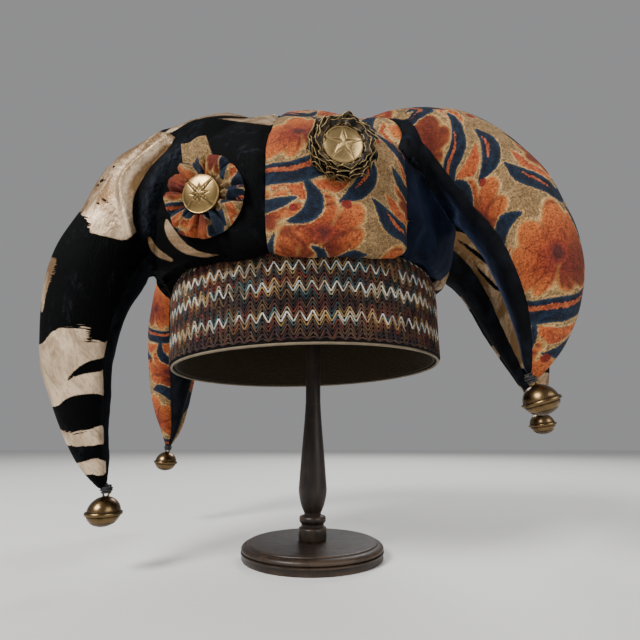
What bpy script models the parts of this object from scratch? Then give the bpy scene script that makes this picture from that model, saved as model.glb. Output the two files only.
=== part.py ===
"""Four-horned jester hat of velvet, tapestry and zigzag knit, held by a plain turned wooden stand."""
import math

import bmesh
import bpy
import numpy as np
from mathutils import Matrix, Vector
from mathutils.bvhtree import BVHTree

for old in list(bpy.data.objects):
    bpy.data.objects.remove(old)

# Clearance between pieces that touch on the real hat.
GAP = 0.0003

# The hat sits a little off the stem's axis and leans a little to its left.
HAT_PLACE = Matrix.Translation((-0.0053, 0.0, 0.1262)) @ Matrix.Rotation(math.radians(-1.8), 4, "Y")

# Headband: a knitted tube that flares a little and turns in under the crown.
BAND_WALL = 0.003
BAND_STEPS = 40
BAND_OUTSIDE = [  # radius, height above the rim
    (0.0975, 0.0010),
    (0.0982, 0.0250),
    (0.0990, 0.0460),
    (0.0975, 0.0550),
    (0.0935, 0.0605),
    (0.0885, 0.0625),
]
LINING_WALL = 0.0015
PIPING_RADIUS = 0.0011

# Crown: a round-shouldered cap whose lower edge puffs out over the band.
CROWN_WALL = 0.003
CROWN_STEPS = 40
SEAM_RADIUS = 0.0885
CROWN_PROFILE = [  # radius, height above the rim, share of the side lift
    (SEAM_RADIUS, 0.0629, 0.0),
    (0.0955, 0.0605, 0.3),
    (0.0998, 0.0520, 0.9),
    (0.1035, 0.0472, 1.0),
    (0.1105, 0.0520, 1.0),
    (0.1135, 0.0640, 0.9),
    (0.1140, 0.0800, 0.7),
    (0.1110, 0.1000, 0.4),
    (0.1040, 0.1220, 0.2),
    (0.0935, 0.1440, 0.1),
    (0.0800, 0.1620, 0.0),
    (0.0640, 0.1750, 0.0),
    (0.0440, 0.1840, 0.0),
    (0.0220, 0.1880, 0.0),
]
CROWN_TOP = 0.1890
HOLLOW_MOUTH = (0.040, 0.066)
HOLLOW_ROW = 6
SIDE_LIFT = 0.013
SIDE_FLARE = 0.010
FLARE_HEIGHT = 0.125
FLARE_SPREAD = 0.035

# The panels meet in upright seams. Azimuths in degrees, counter-clockwise from the hat's right.
WEDGE_REACH = 0.4
SEAM = {"left": 171, "front_left": 261, "front_right": 306, "right": 349, "back_right": 420, "back_left": 472}

# Horns: stuffed tubes that spring from the crown, arch over and hang down to a tip. Each row is a section:
# distance from the hat's axis, height above the rim, half depth in the horn's plane, half width across it.
HORNS = {
    "front_left": {
        "azimuth": 201,
        "seam_angle": 136,
        "sections": [
            (0.035, 0.132, 0.052, 0.060),
            (0.075, 0.134, 0.058, 0.056),
            (0.107, 0.116, 0.047, 0.043),
            (0.133, 0.086, 0.0315, 0.033),
            (0.147, 0.057, 0.0275, 0.028),
            (0.152, 0.028, 0.0228, 0.024),
            (0.1515, 0.002, 0.0198, 0.020),
            (0.1465, -0.022, 0.0158, 0.016),
            (0.1405, -0.046, 0.0110, 0.011),
            (0.1335, -0.065, 0.0066, 0.0066),
            (0.1290, -0.0760, 0.0030, 0.0030),
        ],
    },
    "front_right": {
        "azimuth": -33,
        "seam_angle": 122,
        "sections": [
            (0.050, 0.128, 0.054, 0.050),
            (0.090, 0.136, 0.040, 0.044),
            (0.122, 0.128, 0.0315, 0.036),
            (0.145, 0.101, 0.0285, 0.033),
            (0.159, 0.070, 0.0258, 0.029),
            (0.1640, 0.044, 0.0230, 0.025),
            (0.1640, 0.022, 0.0185, 0.020),
            (0.1605, 0.002, 0.0128, 0.014),
            (0.1560, -0.012, 0.0072, 0.008),
            (0.1525, -0.022, 0.0030, 0.0030),
        ],
    },
    "back_left": {
        "azimuth": 142,
        "seam_angle": 118,
        "sections": [
            (0.045, 0.124, 0.048, 0.048),
            (0.090, 0.130, 0.050, 0.048),
            (0.125, 0.124, 0.040, 0.040),
            (0.151, 0.098, 0.031, 0.032),
            (0.165, 0.066, 0.028, 0.028),
            (0.170, 0.040, 0.0250, 0.025),
            (0.171, 0.012, 0.0205, 0.021),
            (0.170, -0.016, 0.0150, 0.0155),
            (0.169, -0.038, 0.0088, 0.0090),
            (0.173, -0.054, 0.0030, 0.0030),
        ],
    },
    "back_right": {
        "azimuth": 12,
        "seam_angle": 112,
        "sections": [
            (0.045, 0.124, 0.048, 0.048),
            (0.090, 0.130, 0.048, 0.046),
            (0.127, 0.122, 0.040, 0.040),
            (0.156, 0.098, 0.032, 0.035),
            (0.173, 0.067, 0.0272, 0.030),
            (0.182, 0.038, 0.0240, 0.026),
            (0.188, 0.013, 0.0180, 0.020),
            (0.192, -0.008, 0.0125, 0.013),
            (0.1935, -0.022, 0.0075, 0.008),
            (0.194, -0.032, 0.0030, 0.0030),
        ],
    },
}
ROWS_PER_SECTION = 1.3
UPPER_POINTS = 9
UNDER_POINTS = 7

# Brass jingle bells: a domed top half, a rim round the middle and a flatter bowl with a slot below.
BELL_DOME = 0.0095
BELL_RIM = 0.0110
BELL_RIM_EDGE = 0.0006
BELL_WALL = 0.0009
BELL_STEPS = 12
BELL_SLOT = 0.0018
LOOP_RADIUS = 0.0016
LOOP_WIRE = 0.0006
BELL_BOWL = 0.78
BELL_LEAN = {"front_left": 0, "front_right": -17, "back_left": 4, "back_right": -8}

# Rosettes on the crown, by azimuth and height above the rim. The tab is a share of the radius.
TAPESTRY_ROSETTE = {
    "azimuth": 240.5,
    "height": 0.0905,
    "radius": 0.0250,
    "depth": 0.0060,
    "gathers": 12,
    "tab": 0.30,
}
RIBBON_ROSETTE = {
    "azimuth": 285,
    "height": 0.117,
    "radius": 0.0235,
    "depth": 0.0075,
    "gathers": 15,
    "tab": 0.0,
}
BUTTON_RADIUS = 0.0115
BUTTON_HEIGHT = 0.0048
STAR_RADIUS = 0.0062
STAR_RISE = 0.0005

# Stand: a moulded disc, a turned stem and a hidden round cap inside the crown.
BASE_PROFILE = [  # radius, height
    (0.0440, 0.0098),
    (0.0446, 0.0092),
    (0.0466, 0.0084),
    (0.0478, 0.0074),
    (0.0482, 0.0060),
    (0.0478, 0.0040),
    (0.0466, 0.0030),
    (0.0466, 0.0000),
]
STEM_PROFILE = [  # radius, height
    (0.0054, 0.2975),
    (0.0054, 0.1200),
    (0.0056, 0.1000),
    (0.0066, 0.0840),
    (0.0083, 0.0640),
    (0.0095, 0.0480),
    (0.0098, 0.0410),
    (0.0082, 0.0330),
    (0.0058, 0.0268),
    (0.0058, 0.0258),
    (0.0088, 0.0252),
    (0.0092, 0.0232),
    (0.0088, 0.0212),
    (0.0078, 0.0206),
    (0.0078, 0.0186),
    (0.0094, 0.0180),
    (0.0096, 0.0165),
    (0.0096, 0.0115),
    (0.0090, 0.0101),
]
CAP_PROFILE = [  # radius, height below the cap's top
    (0.0120, 0.0006),
    (0.0240, 0.0024),
    (0.0340, 0.0052),
    (0.0390, 0.0082),
    (0.0390, 0.0120),
    (0.0360, 0.0134),
    (0.0100, 0.0134),
]
CAP_TOP = 0.3112

parts = bpy.data.collections.new("jester_hat")
bpy.context.scene.collection.children.link(parts)
cutters = bpy.data.collections.new("cutters")
bpy.context.scene.collection.children.link(cutters)


def finish(name, colour, roughness, metallic=0.0):
    material = bpy.data.materials.new(name)
    material.use_nodes = True
    shader = material.node_tree.nodes["Principled BSDF"]
    shader.inputs["Base Color"].default_value = (*colour, 1.0)
    shader.inputs["Roughness"].default_value = roughness
    shader.inputs["Metallic"].default_value = metallic
    return material


ZEBRA = finish("zebra_velvet", (0.55, 0.46, 0.34), 0.7)
FLORAL = finish("floral_tapestry", (0.50, 0.26, 0.12), 0.85)
NAVY = finish("navy_velvet", (0.02, 0.03, 0.07), 0.7)
BLACK = finish("black_velvet", (0.02, 0.018, 0.018), 0.7)
KNIT = finish("zigzag_knit", (0.16, 0.12, 0.09), 0.9)
RIBBED = finish("lining_cloth", (0.07, 0.06, 0.04), 0.9)
TAN = finish("piping_cloth", (0.45, 0.35, 0.22), 0.85)
RIBBON = finish("bronze_ribbon", (0.06, 0.045, 0.02), 0.6)
BRASS = finish("antique_brass", (0.45, 0.32, 0.14), 0.35, 1.0)
WOOD = finish("dark_wood", (0.06, 0.035, 0.025), 0.35)


def place(obj, material, collection=parts):
    """Put an object into a collection with its material."""
    for home in list(obj.users_collection):
        home.objects.unlink(obj)
    collection.objects.link(obj)
    obj.data.materials.clear()
    if material:
        obj.data.materials.append(material)
    if collection is cutters:
        obj.hide_render = True
        obj.display_type = "WIRE"
    return obj


def from_bmesh(name, shape, material, collection=parts):
    """A new object from a bmesh, with its faces pointing out."""
    bmesh.ops.recalc_face_normals(shape, faces=shape.faces)
    mesh = bpy.data.meshes.new(name)
    shape.to_mesh(mesh)
    shape.free()
    obj = bpy.data.objects.new(name, mesh)
    bpy.context.scene.collection.objects.link(obj)
    return place(obj, material, collection)


def loft(name, rings, material, collection=parts, ends="faces"):
    """Closed skin through rings of equal length. Its ends are faces or single points."""
    shape = bmesh.new()
    rows = [[shape.verts.new(point) for point in ring] for ring in rings]
    count = len(rows[0])
    for lower, upper in zip(rows, rows[1:]):
        for i in range(count):
            j = (i + 1) % count
            shape.faces.new((lower[i], lower[j], upper[j], upper[i]))
    for row in (rows[0], rows[-1]):
        if ends == "faces":
            shape.faces.new(row)
        else:
            centre = shape.verts.new(sum((v.co for v in row), Vector()) / count)
            for i in range(count):
                shape.faces.new((row[i], row[(i + 1) % count], centre))
    return from_bmesh(name, shape, material, collection)


def turned(name, profile, steps, material, closed=False, collection=parts):
    """A turned solid: the profile runs down the outer side and the Screw modifier sweeps it round Z."""
    points = [Vector((radius, 0.0, height)) for radius, height in profile]
    if not closed:
        points = [Vector((0.0, 0.0, points[0].z))] + points + [Vector((0.0, 0.0, points[-1].z))]
    mesh = bpy.data.meshes.new(name)
    edges = [(i, i + 1) for i in range(len(points) - 1)]
    if closed:
        edges.append((len(points) - 1, 0))
    mesh.from_pydata(points, edges, [])
    obj = bpy.data.objects.new(name, mesh)
    bpy.context.scene.collection.objects.link(obj)
    screw = obj.modifiers.new("Turn", "SCREW")
    screw.steps = steps
    screw.render_steps = steps
    screw.use_merge_vertices = True
    screw.merge_threshold = 0.00001
    screw.use_smooth_shade = True
    return place(obj, material, collection)


def made(obj):
    """Apply an object's modifiers and place, so that its mesh holds the finished shape in the world."""
    depsgraph = bpy.context.evaluated_depsgraph_get()
    mesh = bpy.data.meshes.new_from_object(obj.evaluated_get(depsgraph))
    mesh.transform(obj.matrix_world)
    obj.modifiers.clear()
    obj.data = mesh
    obj.matrix_world = Matrix.Identity(4)
    return obj


def combine(obj, other, operation):
    """Boolean with the other object, applied at once."""
    boolean = obj.modifiers.new(operation.title(), "BOOLEAN")
    boolean.operation = operation
    boolean.solver = "EXACT"
    boolean.object = other
    bpy.context.view_layer.update()
    made(obj)
    shape = bmesh.new()
    shape.from_mesh(obj.data)
    bmesh.ops.remove_doubles(shape, verts=shape.verts, dist=0.000002)
    bmesh.ops.triangulate(shape, faces=shape.faces)
    shape.to_mesh(obj.data)
    shape.free()
    return obj


def copy_of(obj, name, material, collection=parts):
    twin = bpy.data.objects.new(name, obj.data.copy())
    bpy.context.scene.collection.objects.link(twin)
    return place(twin, material, collection)


def spline(rows, steps):
    """Rows read from a smooth curve through the given rows, the same number of steps between each two."""
    rows = np.array(rows, float)
    ends = np.vstack([2 * rows[0] - rows[1], rows, 2 * rows[-1] - rows[-2]])
    out = []
    for at in np.linspace(0, len(rows) - 1, steps):
        i = min(int(at), len(rows) - 2)
        t = at - i
        a, b, c, d = ends[i:i + 4]
        bend = 2 * a - 5 * b + 4 * c - d
        twist = -a + 3 * b - 3 * c + d
        out.append(0.5 * (2 * b + (c - a) * t + bend * t * t + twist * t ** 3))
    return np.array(out)


# Crown form, used as the outer skin, as the hollow inside it and as the seat that the horns keep clear of.
def crown_row(azimuth, row, outset):
    """One point of the crown's skin, moved outwards by outset along the profile's normal."""
    radius, height, share = CROWN_PROFILE[row]
    before = CROWN_PROFILE[max(row - 1, 0)]
    after = CROWN_PROFILE[row + 1] if row + 1 < len(CROWN_PROFILE) else (0.0, CROWN_TOP, 0.0)
    along = Vector((after[0] - before[0], after[1] - before[1])).normalized()
    side = math.cos(azimuth) ** 2
    flare = SIDE_FLARE * side * math.exp(-(((height - FLARE_HEIGHT) / FLARE_SPREAD) ** 2))
    radius += along.y * outset + flare
    height += -along.x * outset + SIDE_LIFT * side * share
    return Vector((radius * math.cos(azimuth), radius * math.sin(azimuth), height))


def crown_form(name, outset):
    """The crown as one closed lump, with its skin moved outwards by outset."""
    angles = [2 * math.pi * i / CROWN_STEPS for i in range(CROWN_STEPS)]
    rings = [[crown_row(a, row, outset) for a in angles] for row in range(len(CROWN_PROFILE))]
    form = loft(name, rings, None, cutters, ends="points")
    form.data.transform(HAT_PLACE)
    return form


crown_skin = crown_form("crown_skin", 0.0)
crown_seat = crown_form("crown_seat", GAP)


def hollow_form():
    """The room inside the crown, from below the band's top edge up to the crown's inner side."""
    rings = []
    angles = [2 * math.pi * i / CROWN_STEPS for i in range(CROWN_STEPS)]
    inside = SEAM_RADIUS - CROWN_WALL
    for height in HOLLOW_MOUTH:
        rings.append([Vector((inside * math.cos(a), inside * math.sin(a), height)) for a in angles])
    for row in range(HOLLOW_ROW, len(CROWN_PROFILE)):
        rings.append([crown_row(a, row, -CROWN_WALL) for a in angles])
    form = loft("crown_hollow", rings, None, cutters, ends="points")
    form.data.transform(HAT_PLACE)
    return form


crown_hollow = hollow_form()


def wedge(name, start, end):
    """The room between two upright seams, half a gap short of each."""
    middle = math.radians((start + end) / 2)
    half = math.radians((end - start) / 2)
    tip = GAP / 2 / math.sin(half)
    corners = [Vector((tip * math.cos(middle), tip * math.sin(middle), 0))]
    for angle in (middle - half, middle + half):
        corners.append(corners[0] + WEDGE_REACH * Vector((math.cos(angle), math.sin(angle), 0)))
    shape = bmesh.new()
    face = shape.faces.new([shape.verts.new(c - Vector((0, 0, WEDGE_REACH / 2))) for c in corners])
    sides = bmesh.ops.extrude_face_region(shape, geom=[face])["geom"]
    top = [v for v in sides if isinstance(v, bmesh.types.BMVert)]
    bmesh.ops.translate(shape, vec=(0, 0, 1.5 * WEDGE_REACH), verts=top)
    form = from_bmesh(name, shape, None, cutters)
    form.data.transform(HAT_PLACE)
    return form


def horn_half(name, horn, upper):
    """Half of a horn, split along its two seams: the upper half faces out, the under half faces the head."""
    azimuth = math.radians(horn["azimuth"])
    seam = math.radians(horn["seam_angle"])
    out = Vector((math.cos(azimuth), math.sin(azimuth), 0))
    across = Vector((-out.y, out.x, 0))
    steps = int(len(horn["sections"]) * ROWS_PER_SECTION)
    table = spline(horn["sections"], steps)
    slopes = np.gradient(table[:, :2], axis=0)
    rings = []
    for (reach, height, depth, width), slope in zip(table, slopes):
        along = (out * slope[0] + Vector((0, 0, slope[1]))).normalized()
        back = along.cross(across)
        back = back if back.dot(out + Vector((0, 0, 1))) > 0 else -back
        centre = out * reach + Vector((0, 0, height))
        if upper:
            angles = np.linspace(-seam, seam, UPPER_POINTS)
            shift = GAP / 2
        else:
            angles = np.linspace(seam, 2 * math.pi - seam, UNDER_POINTS)
            shift = -GAP / 2
        ring = []
        for angle in angles:
            ring.append(centre + back * (depth * math.cos(angle) + shift) + across * width * math.sin(angle))
        rings.append(ring)
    form = loft(name, rings, None, cutters)
    form.data.transform(HAT_PLACE)
    return form


def crown_panel(name, start, end, material, horn_piece=None):
    """The crown between two seams, with the horn half that is cut from the same cloth."""
    panel = copy_of(crown_skin, name, material)
    if horn_piece:
        combine(panel, horn_piece, "UNION")
    combine(panel, wedge(name + "_room", start, end), "INTERSECT")
    return combine(panel, crown_hollow, "DIFFERENCE")


def seated_half(horn_piece, name, start, end, material):
    """A horn half sewn on outside the crown's cloth."""
    half = copy_of(horn_piece, name, material)
    combine(half, wedge(name + "_room", start, end), "INTERSECT")
    return combine(half, crown_seat, "DIFFERENCE")


horn_halves = {}
for side, horn in HORNS.items():
    outer_half = horn_half(side + "_outer_form", horn, True)
    under_half = horn_half(side + "_under_form", horn, False)
    horn_halves[side] = (outer_half, under_half)

zebra_left = crown_panel(
    "horn_front_left", SEAM["left"], SEAM["front_left"], ZEBRA, horn_halves["front_left"][0]
)
seated_half(horn_halves["front_left"][1], "horn_front_left_under", SEAM["left"], SEAM["front_left"], BLACK)
front_panel = crown_panel("crown_front", SEAM["front_left"], SEAM["front_right"], FLORAL)
crown_panel("crown_right", SEAM["front_right"], SEAM["right"], NAVY, horn_halves["front_right"][1])
seated_half(horn_halves["front_right"][0], "horn_front_right", SEAM["front_right"], SEAM["right"], FLORAL)
crown_panel("horn_back_right", SEAM["right"], SEAM["back_right"], ZEBRA, horn_halves["back_right"][0])
seated_half(horn_halves["back_right"][1], "horn_back_right_under", SEAM["right"], SEAM["back_right"], BLACK)
crown_panel("crown_back", SEAM["back_right"], SEAM["back_left"], NAVY)
crown_panel("horn_back_left", SEAM["back_left"], SEAM["left"] + 360, FLORAL, horn_halves["back_left"][0])
seated_half(horn_halves["back_left"][1], "horn_back_left_under", SEAM["back_left"], SEAM["left"] + 360, BLACK)


# Headband, its ribbed lining and the piping round the rim.
def ring_of_cloth(name, outside, wall, material):
    """A band of cloth: the outer profile from the top down, then the same line a wall further in."""
    down = list(reversed(outside))
    inner = [(radius - wall, height) for radius, height in outside]
    inner[-1] = (outside[-1][0] - wall * 0.3, outside[-1][1] - wall)
    band = turned(name, down + inner, BAND_STEPS, material, closed=True)
    band.matrix_world = HAT_PLACE
    return band


ring_of_cloth("headband", BAND_OUTSIDE, BAND_WALL, KNIT)
lining_outside = [(radius - BAND_WALL - GAP, height) for radius, height in BAND_OUTSIDE[:3]]
ring_of_cloth("band_lining", lining_outside, LINING_WALL, RIBBED)

bpy.ops.mesh.primitive_torus_add(
    major_radius=BAND_OUTSIDE[0][0] - BAND_WALL / 2,
    minor_radius=PIPING_RADIUS,
    major_segments=BAND_STEPS,
    minor_segments=5,
)
piping = bpy.context.active_object
piping.name = "rim_piping"
place(piping, TAN)
piping.matrix_world = HAT_PLACE @ Matrix.Translation((0, 0, BAND_OUTSIDE[0][1] - GAP - PIPING_RADIUS))


# Rosettes and buttons, set on the crown where a line from outside meets its cloth.
def seat_on(obj, azimuth, height):
    """Point and outward direction on an object, straight in from an azimuth and height of the hat."""
    angle = math.radians(azimuth)
    out = Vector((math.cos(angle), math.sin(angle), 0))
    start = HAT_PLACE @ (out * WEDGE_REACH + Vector((0, 0, height)))
    tree = BVHTree.FromPolygons([v.co for v in obj.data.vertices], [p.vertices for p in obj.data.polygons])
    point, normal, _, _ = tree.ray_cast(start, HAT_PLACE.to_3x3() @ -out)
    return point, normal


def facing(point, normal):
    return Matrix.Translation(point) @ normal.to_track_quat("Z", "Y").to_matrix().to_4x4()


def rosette(name, spec, seat, material):
    """A gathered disc with a flat back, a ring of soft pleats in front and a tab of cloth at the top."""
    radius = spec["radius"]
    depth = spec["depth"]
    gathers = spec["gathers"]
    count = gathers * 4
    rings = []
    for share, rise, ripple in ((1.0, 0.10, 0.0), (1.0, 0.50, 0.25), (0.85, 0.75, 0.25), (0.45, 0.5, 0.0)):
        ring = []
        for i in range(count):
            angle = 2 * math.pi * i / count
            pleat = math.cos(gathers * angle)
            tab = spec["tab"] * max(0.0, math.sin(angle)) ** 12
            reach = radius * share * (1 + (0.05 * pleat + tab) * (share > 0.8))
            level = depth * (rise + ripple * pleat)
            ring.append(Vector((reach * math.cos(angle), reach * math.sin(angle), level)))
        rings.append(ring)
    disc = loft(name, rings, material, ends="points")
    point, normal = seat
    disc.matrix_world = facing(point + normal * GAP, normal)
    return disc


def star_button(name, seat, lift):
    """A domed brass button with a turned rim and a raised star."""
    profile = [(BUTTON_RADIUS * math.sin(a), BUTTON_HEIGHT * (0.45 + 0.55 * math.cos(a)))
               for a in (math.radians(d) for d in (12, 30, 50, 66))]
    profile += [(BUTTON_RADIUS * 0.96, BUTTON_HEIGHT * 0.52), (BUTTON_RADIUS, BUTTON_HEIGHT * 0.4)]
    profile += [(BUTTON_RADIUS * 0.96, BUTTON_HEIGHT * 0.1), (BUTTON_RADIUS * 0.9, 0.0)]
    button = made(turned(name, profile, 16, BRASS))
    corners = []
    for i in range(10):
        reach = STAR_RADIUS * (1.0 if i % 2 == 0 else 0.42)
        angle = math.pi * i / 5 + math.pi / 2
        corners.append(Vector((reach * math.cos(angle), reach * math.sin(angle), BUTTON_HEIGHT * 0.5)))
    top = [Vector((c.x * 0.8, c.y * 0.8, BUTTON_HEIGHT + STAR_RISE)) for c in corners]
    combine(button, loft(name + "_star", [corners, top], None, cutters, ends="points"), "UNION")
    point, normal = seat
    button.matrix_world = facing(point + normal * lift, normal)
    return button


left_seat = seat_on(zebra_left, TAPESTRY_ROSETTE["azimuth"], TAPESTRY_ROSETTE["height"])
right_seat = seat_on(front_panel, RIBBON_ROSETTE["azimuth"], RIBBON_ROSETTE["height"])
rosette("rosette_tapestry", TAPESTRY_ROSETTE, left_seat, FLORAL)
rosette("rosette_ribbon", RIBBON_ROSETTE, right_seat, RIBBON)
star_button("button_left", left_seat, GAP + TAPESTRY_ROSETTE["depth"] * 0.62)
star_button("button_right", right_seat, GAP + RIBBON_ROSETTE["depth"] * 0.62)


# Bells, each hung by its wire loop from the tip of a horn.
def bell_body(name):
    """A hollow bell standing on its axis, with its loop above and a slot with round ends below."""
    dome_angles = [math.radians(d) for d in (20, 45, 70, 86)]
    bowl_angles = [math.radians(d) for d in (84, 60, 35)]
    outer = [(BELL_DOME * math.sin(a), BELL_DOME * math.cos(a)) for a in dome_angles]
    rim = [(BELL_RIM, BELL_RIM_EDGE), (BELL_RIM, -BELL_RIM_EDGE)]
    bowl = [(BELL_DOME * math.sin(a), -BELL_BOWL * BELL_DOME * math.cos(a)) for a in bowl_angles]
    shell = made(turned(name, outer + rim + bowl, BELL_STEPS, BRASS))
    hollow = [(BELL_DOME - BELL_WALL) * math.sin(math.radians(d)) for d in (25, 60, 90, 60, 25)]
    levels = [(BELL_DOME - BELL_WALL) * k for k in (0.9, 0.5, 0.0, -0.39, -0.70)]
    inside = made(turned(name + "_hollow", list(zip(hollow, levels)), 8, None, collection=cutters))
    combine(shell, inside, "DIFFERENCE")
    bpy.ops.mesh.primitive_cube_add(size=1, location=(0, 0, -BELL_DOME * 0.7))
    slot = bpy.context.active_object
    slot.scale = (BELL_DOME * 1.3, BELL_SLOT, BELL_DOME * 0.9)
    slot.name = name + "_slot"
    place(slot, None, cutters)
    combine(shell, made(slot), "DIFFERENCE")
    bpy.ops.mesh.primitive_torus_add(
        major_radius=LOOP_RADIUS,
        minor_radius=LOOP_WIRE,
        major_segments=8,
        minor_segments=4,
        location=(0, 0, BELL_DOME),
        rotation=(math.radians(90), 0, 0),
    )
    loop = bpy.context.active_object
    loop.name = name + "_loop"
    place(loop, None, cutters)
    combine(shell, made(loop), "UNION")
    return shell


BELL_HANG = BELL_DOME + LOOP_RADIUS + LOOP_WIRE
TIP_DROP = 0.0005
for side, horn in HORNS.items():
    azimuth = math.radians(horn["azimuth"])
    reach, height = horn["sections"][-1][:2]
    tip = HAT_PLACE @ Vector((reach * math.cos(azimuth), reach * math.sin(azimuth), height - TIP_DROP))
    bell = bell_body("bell_" + side)
    lean = Matrix.Rotation(math.radians(BELL_LEAN[side]), 4, "Y")
    bell.matrix_world = Matrix.Translation(tip) @ lean @ Matrix.Translation((0, 0, -BELL_HANG - GAP))


# Stand.
turned("stand_base", BASE_PROFILE, 32, WOOD)
turned("stand_stem", STEM_PROFILE, 18, WOOD)
cap_line = [(radius, CAP_TOP - drop) for radius, drop in CAP_PROFILE]
turned("stand_cap", cap_line, 18, WOOD)
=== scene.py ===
import math

import bmesh
import bpy
import numpy as np
from mathutils import Matrix, Vector, noise
from mathutils.kdtree import KDTree


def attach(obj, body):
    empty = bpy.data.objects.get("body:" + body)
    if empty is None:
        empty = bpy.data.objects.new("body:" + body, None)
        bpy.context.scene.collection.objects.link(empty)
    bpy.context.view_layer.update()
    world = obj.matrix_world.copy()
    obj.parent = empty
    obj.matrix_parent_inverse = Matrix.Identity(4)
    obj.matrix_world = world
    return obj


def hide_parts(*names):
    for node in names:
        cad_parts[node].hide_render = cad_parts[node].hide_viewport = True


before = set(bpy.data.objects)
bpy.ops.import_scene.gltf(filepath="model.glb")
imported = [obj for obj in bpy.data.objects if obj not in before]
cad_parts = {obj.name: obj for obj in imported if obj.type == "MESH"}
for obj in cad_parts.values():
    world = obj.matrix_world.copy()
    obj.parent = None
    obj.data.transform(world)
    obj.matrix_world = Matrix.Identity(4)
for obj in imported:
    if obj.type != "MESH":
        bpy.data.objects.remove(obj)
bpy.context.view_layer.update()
bpy.ops.object.select_all(action="DESELECT")

# Camera. A close view from a little below the brim, tilted up, as the hat is seen in the photograph. Marks
# and folds that are read from that picture are given in its pixels.
CAMERA_PLACE = np.array([0.0051, -0.3256, 0.0760])
CAMERA_TILT = math.radians(15.37)
CAMERA_FOCAL = 435.3
PICTURE = 640
camera_data = bpy.data.cameras.new("camera")
camera_data.sensor_width = 36.0
camera_data.lens = camera_data.sensor_width * CAMERA_FOCAL / PICTURE
camera_data.clip_start = 0.01
camera = bpy.data.objects.new("camera", camera_data)
camera.location = CAMERA_PLACE.tolist()
camera.rotation_euler = (math.pi / 2 + CAMERA_TILT, 0.0, 0.0)
bpy.context.scene.collection.objects.link(camera)
bpy.context.scene.camera = camera


def seen_at(points):
    """Where points of the hat lie in the 640 pixel picture, as x and y columns."""
    offset = points - CAMERA_PLACE
    depth = offset[:, 1] * math.cos(CAMERA_TILT) + offset[:, 2] * math.sin(CAMERA_TILT)
    rise = -offset[:, 1] * math.sin(CAMERA_TILT) + offset[:, 2] * math.cos(CAMERA_TILT)
    across = PICTURE / 2 + CAMERA_FOCAL * offset[:, 0] / depth
    down = PICTURE / 2 - CAMERA_FOCAL * rise / depth
    return np.column_stack([across, down])


# The soft shell of crown and horns. Cut panels of velvet and tapestry are sewn edge to edge and stuffed,
# so crown and horns run into each other. The shell is lofted, fused, eased at the joins and then cut into
# its panels along the seams.
HAT_PLACE = Matrix.Translation((-0.0053, 0.0, 0.1262)) @ Matrix.Rotation(math.radians(-1.8), 4, "Y")
CROWN_PROFILE = [  # radius, height above the rim, share of the side lift
    (0.0870, 0.0629, 0.0), (0.0955, 0.0605, 0.3), (0.0998, 0.0520, 0.9),
    (0.1035, 0.0472, 1.0), (0.1105, 0.0520, 1.0), (0.1135, 0.0640, 0.9),
    (0.1140, 0.0800, 0.7), (0.1110, 0.1000, 0.4), (0.1040, 0.1220, 0.2),
    (0.0935, 0.1440, 0.1), (0.0800, 0.1620, 0.0), (0.0640, 0.1750, 0.0),
    (0.0440, 0.1840, 0.0), (0.0220, 0.1880, 0.0), (0.0040, 0.1890, 0.0),
]
SIDE_LIFT = 0.013
SIDE_FLARE = 0.010
FLARE_HEIGHT = 0.125
FLARE_SPREAD = 0.035
SEAM = {  # degrees round the hat
    "left": 171, "front_left": 261, "front_right": 306, "right": 349, "back_right": 420, "back_left": 472,
}
# Degrees round the hat, then rows: distance from the axis, height above the rim, half depth, half width.
HORNS = {
    "front_left": (201, [
        (0.035, 0.132, 0.052, 0.060), (0.075, 0.134, 0.058, 0.056), (0.107, 0.116, 0.047, 0.043),
        (0.133, 0.086, 0.0315, 0.033), (0.147, 0.057, 0.0275, 0.028), (0.152, 0.028, 0.0228, 0.024),
        (0.1515, 0.002, 0.0198, 0.020), (0.1465, -0.022, 0.0158, 0.016), (0.1405, -0.046, 0.0110, 0.011),
        (0.1335, -0.065, 0.0066, 0.0066), (0.1290, -0.0760, 0.0030, 0.0030),
    ]),
    "front_right": (-33, [
        (0.050, 0.128, 0.054, 0.050), (0.090, 0.136, 0.040, 0.044), (0.122, 0.128, 0.0315, 0.036),
        (0.145, 0.101, 0.0285, 0.033), (0.159, 0.070, 0.0258, 0.029), (0.1640, 0.044, 0.0230, 0.025),
        (0.1640, 0.022, 0.0185, 0.020), (0.1605, 0.002, 0.0128, 0.014), (0.1560, -0.012, 0.0072, 0.008),
        (0.1525, -0.022, 0.0030, 0.0030),
    ]),
    "back_left": (142, [
        (0.045, 0.124, 0.048, 0.048), (0.090, 0.130, 0.050, 0.048), (0.125, 0.124, 0.040, 0.040),
        (0.151, 0.098, 0.031, 0.032), (0.165, 0.066, 0.028, 0.028), (0.170, 0.040, 0.0250, 0.025),
        (0.171, 0.012, 0.0205, 0.021), (0.170, -0.016, 0.0150, 0.0155), (0.169, -0.038, 0.0088, 0.0090),
        (0.173, -0.054, 0.0030, 0.0030),
    ]),
    "back_right": (12, [
        (0.045, 0.124, 0.048, 0.048), (0.090, 0.130, 0.048, 0.046), (0.127, 0.122, 0.040, 0.040),
        (0.156, 0.098, 0.032, 0.035), (0.173, 0.067, 0.0272, 0.030), (0.182, 0.038, 0.0240, 0.026),
        (0.188, 0.013, 0.0180, 0.020), (0.192, -0.008, 0.0125, 0.013), (0.1935, -0.022, 0.0075, 0.008),
        (0.194, -0.032, 0.0030, 0.0030),
    ]),
}
SKIN_CELL = 0.0016
HAT_MATRIX = np.array(HAT_PLACE)


def to_world(points):
    return points @ HAT_MATRIX[:3, :3].T + HAT_MATRIX[:3, 3]


def to_hat(points):
    return (points - HAT_MATRIX[:3, 3]) @ HAT_MATRIX[:3, :3]


def full_turn(steps):
    return np.linspace(0, 2 * math.pi, steps, endpoint=False)


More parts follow.
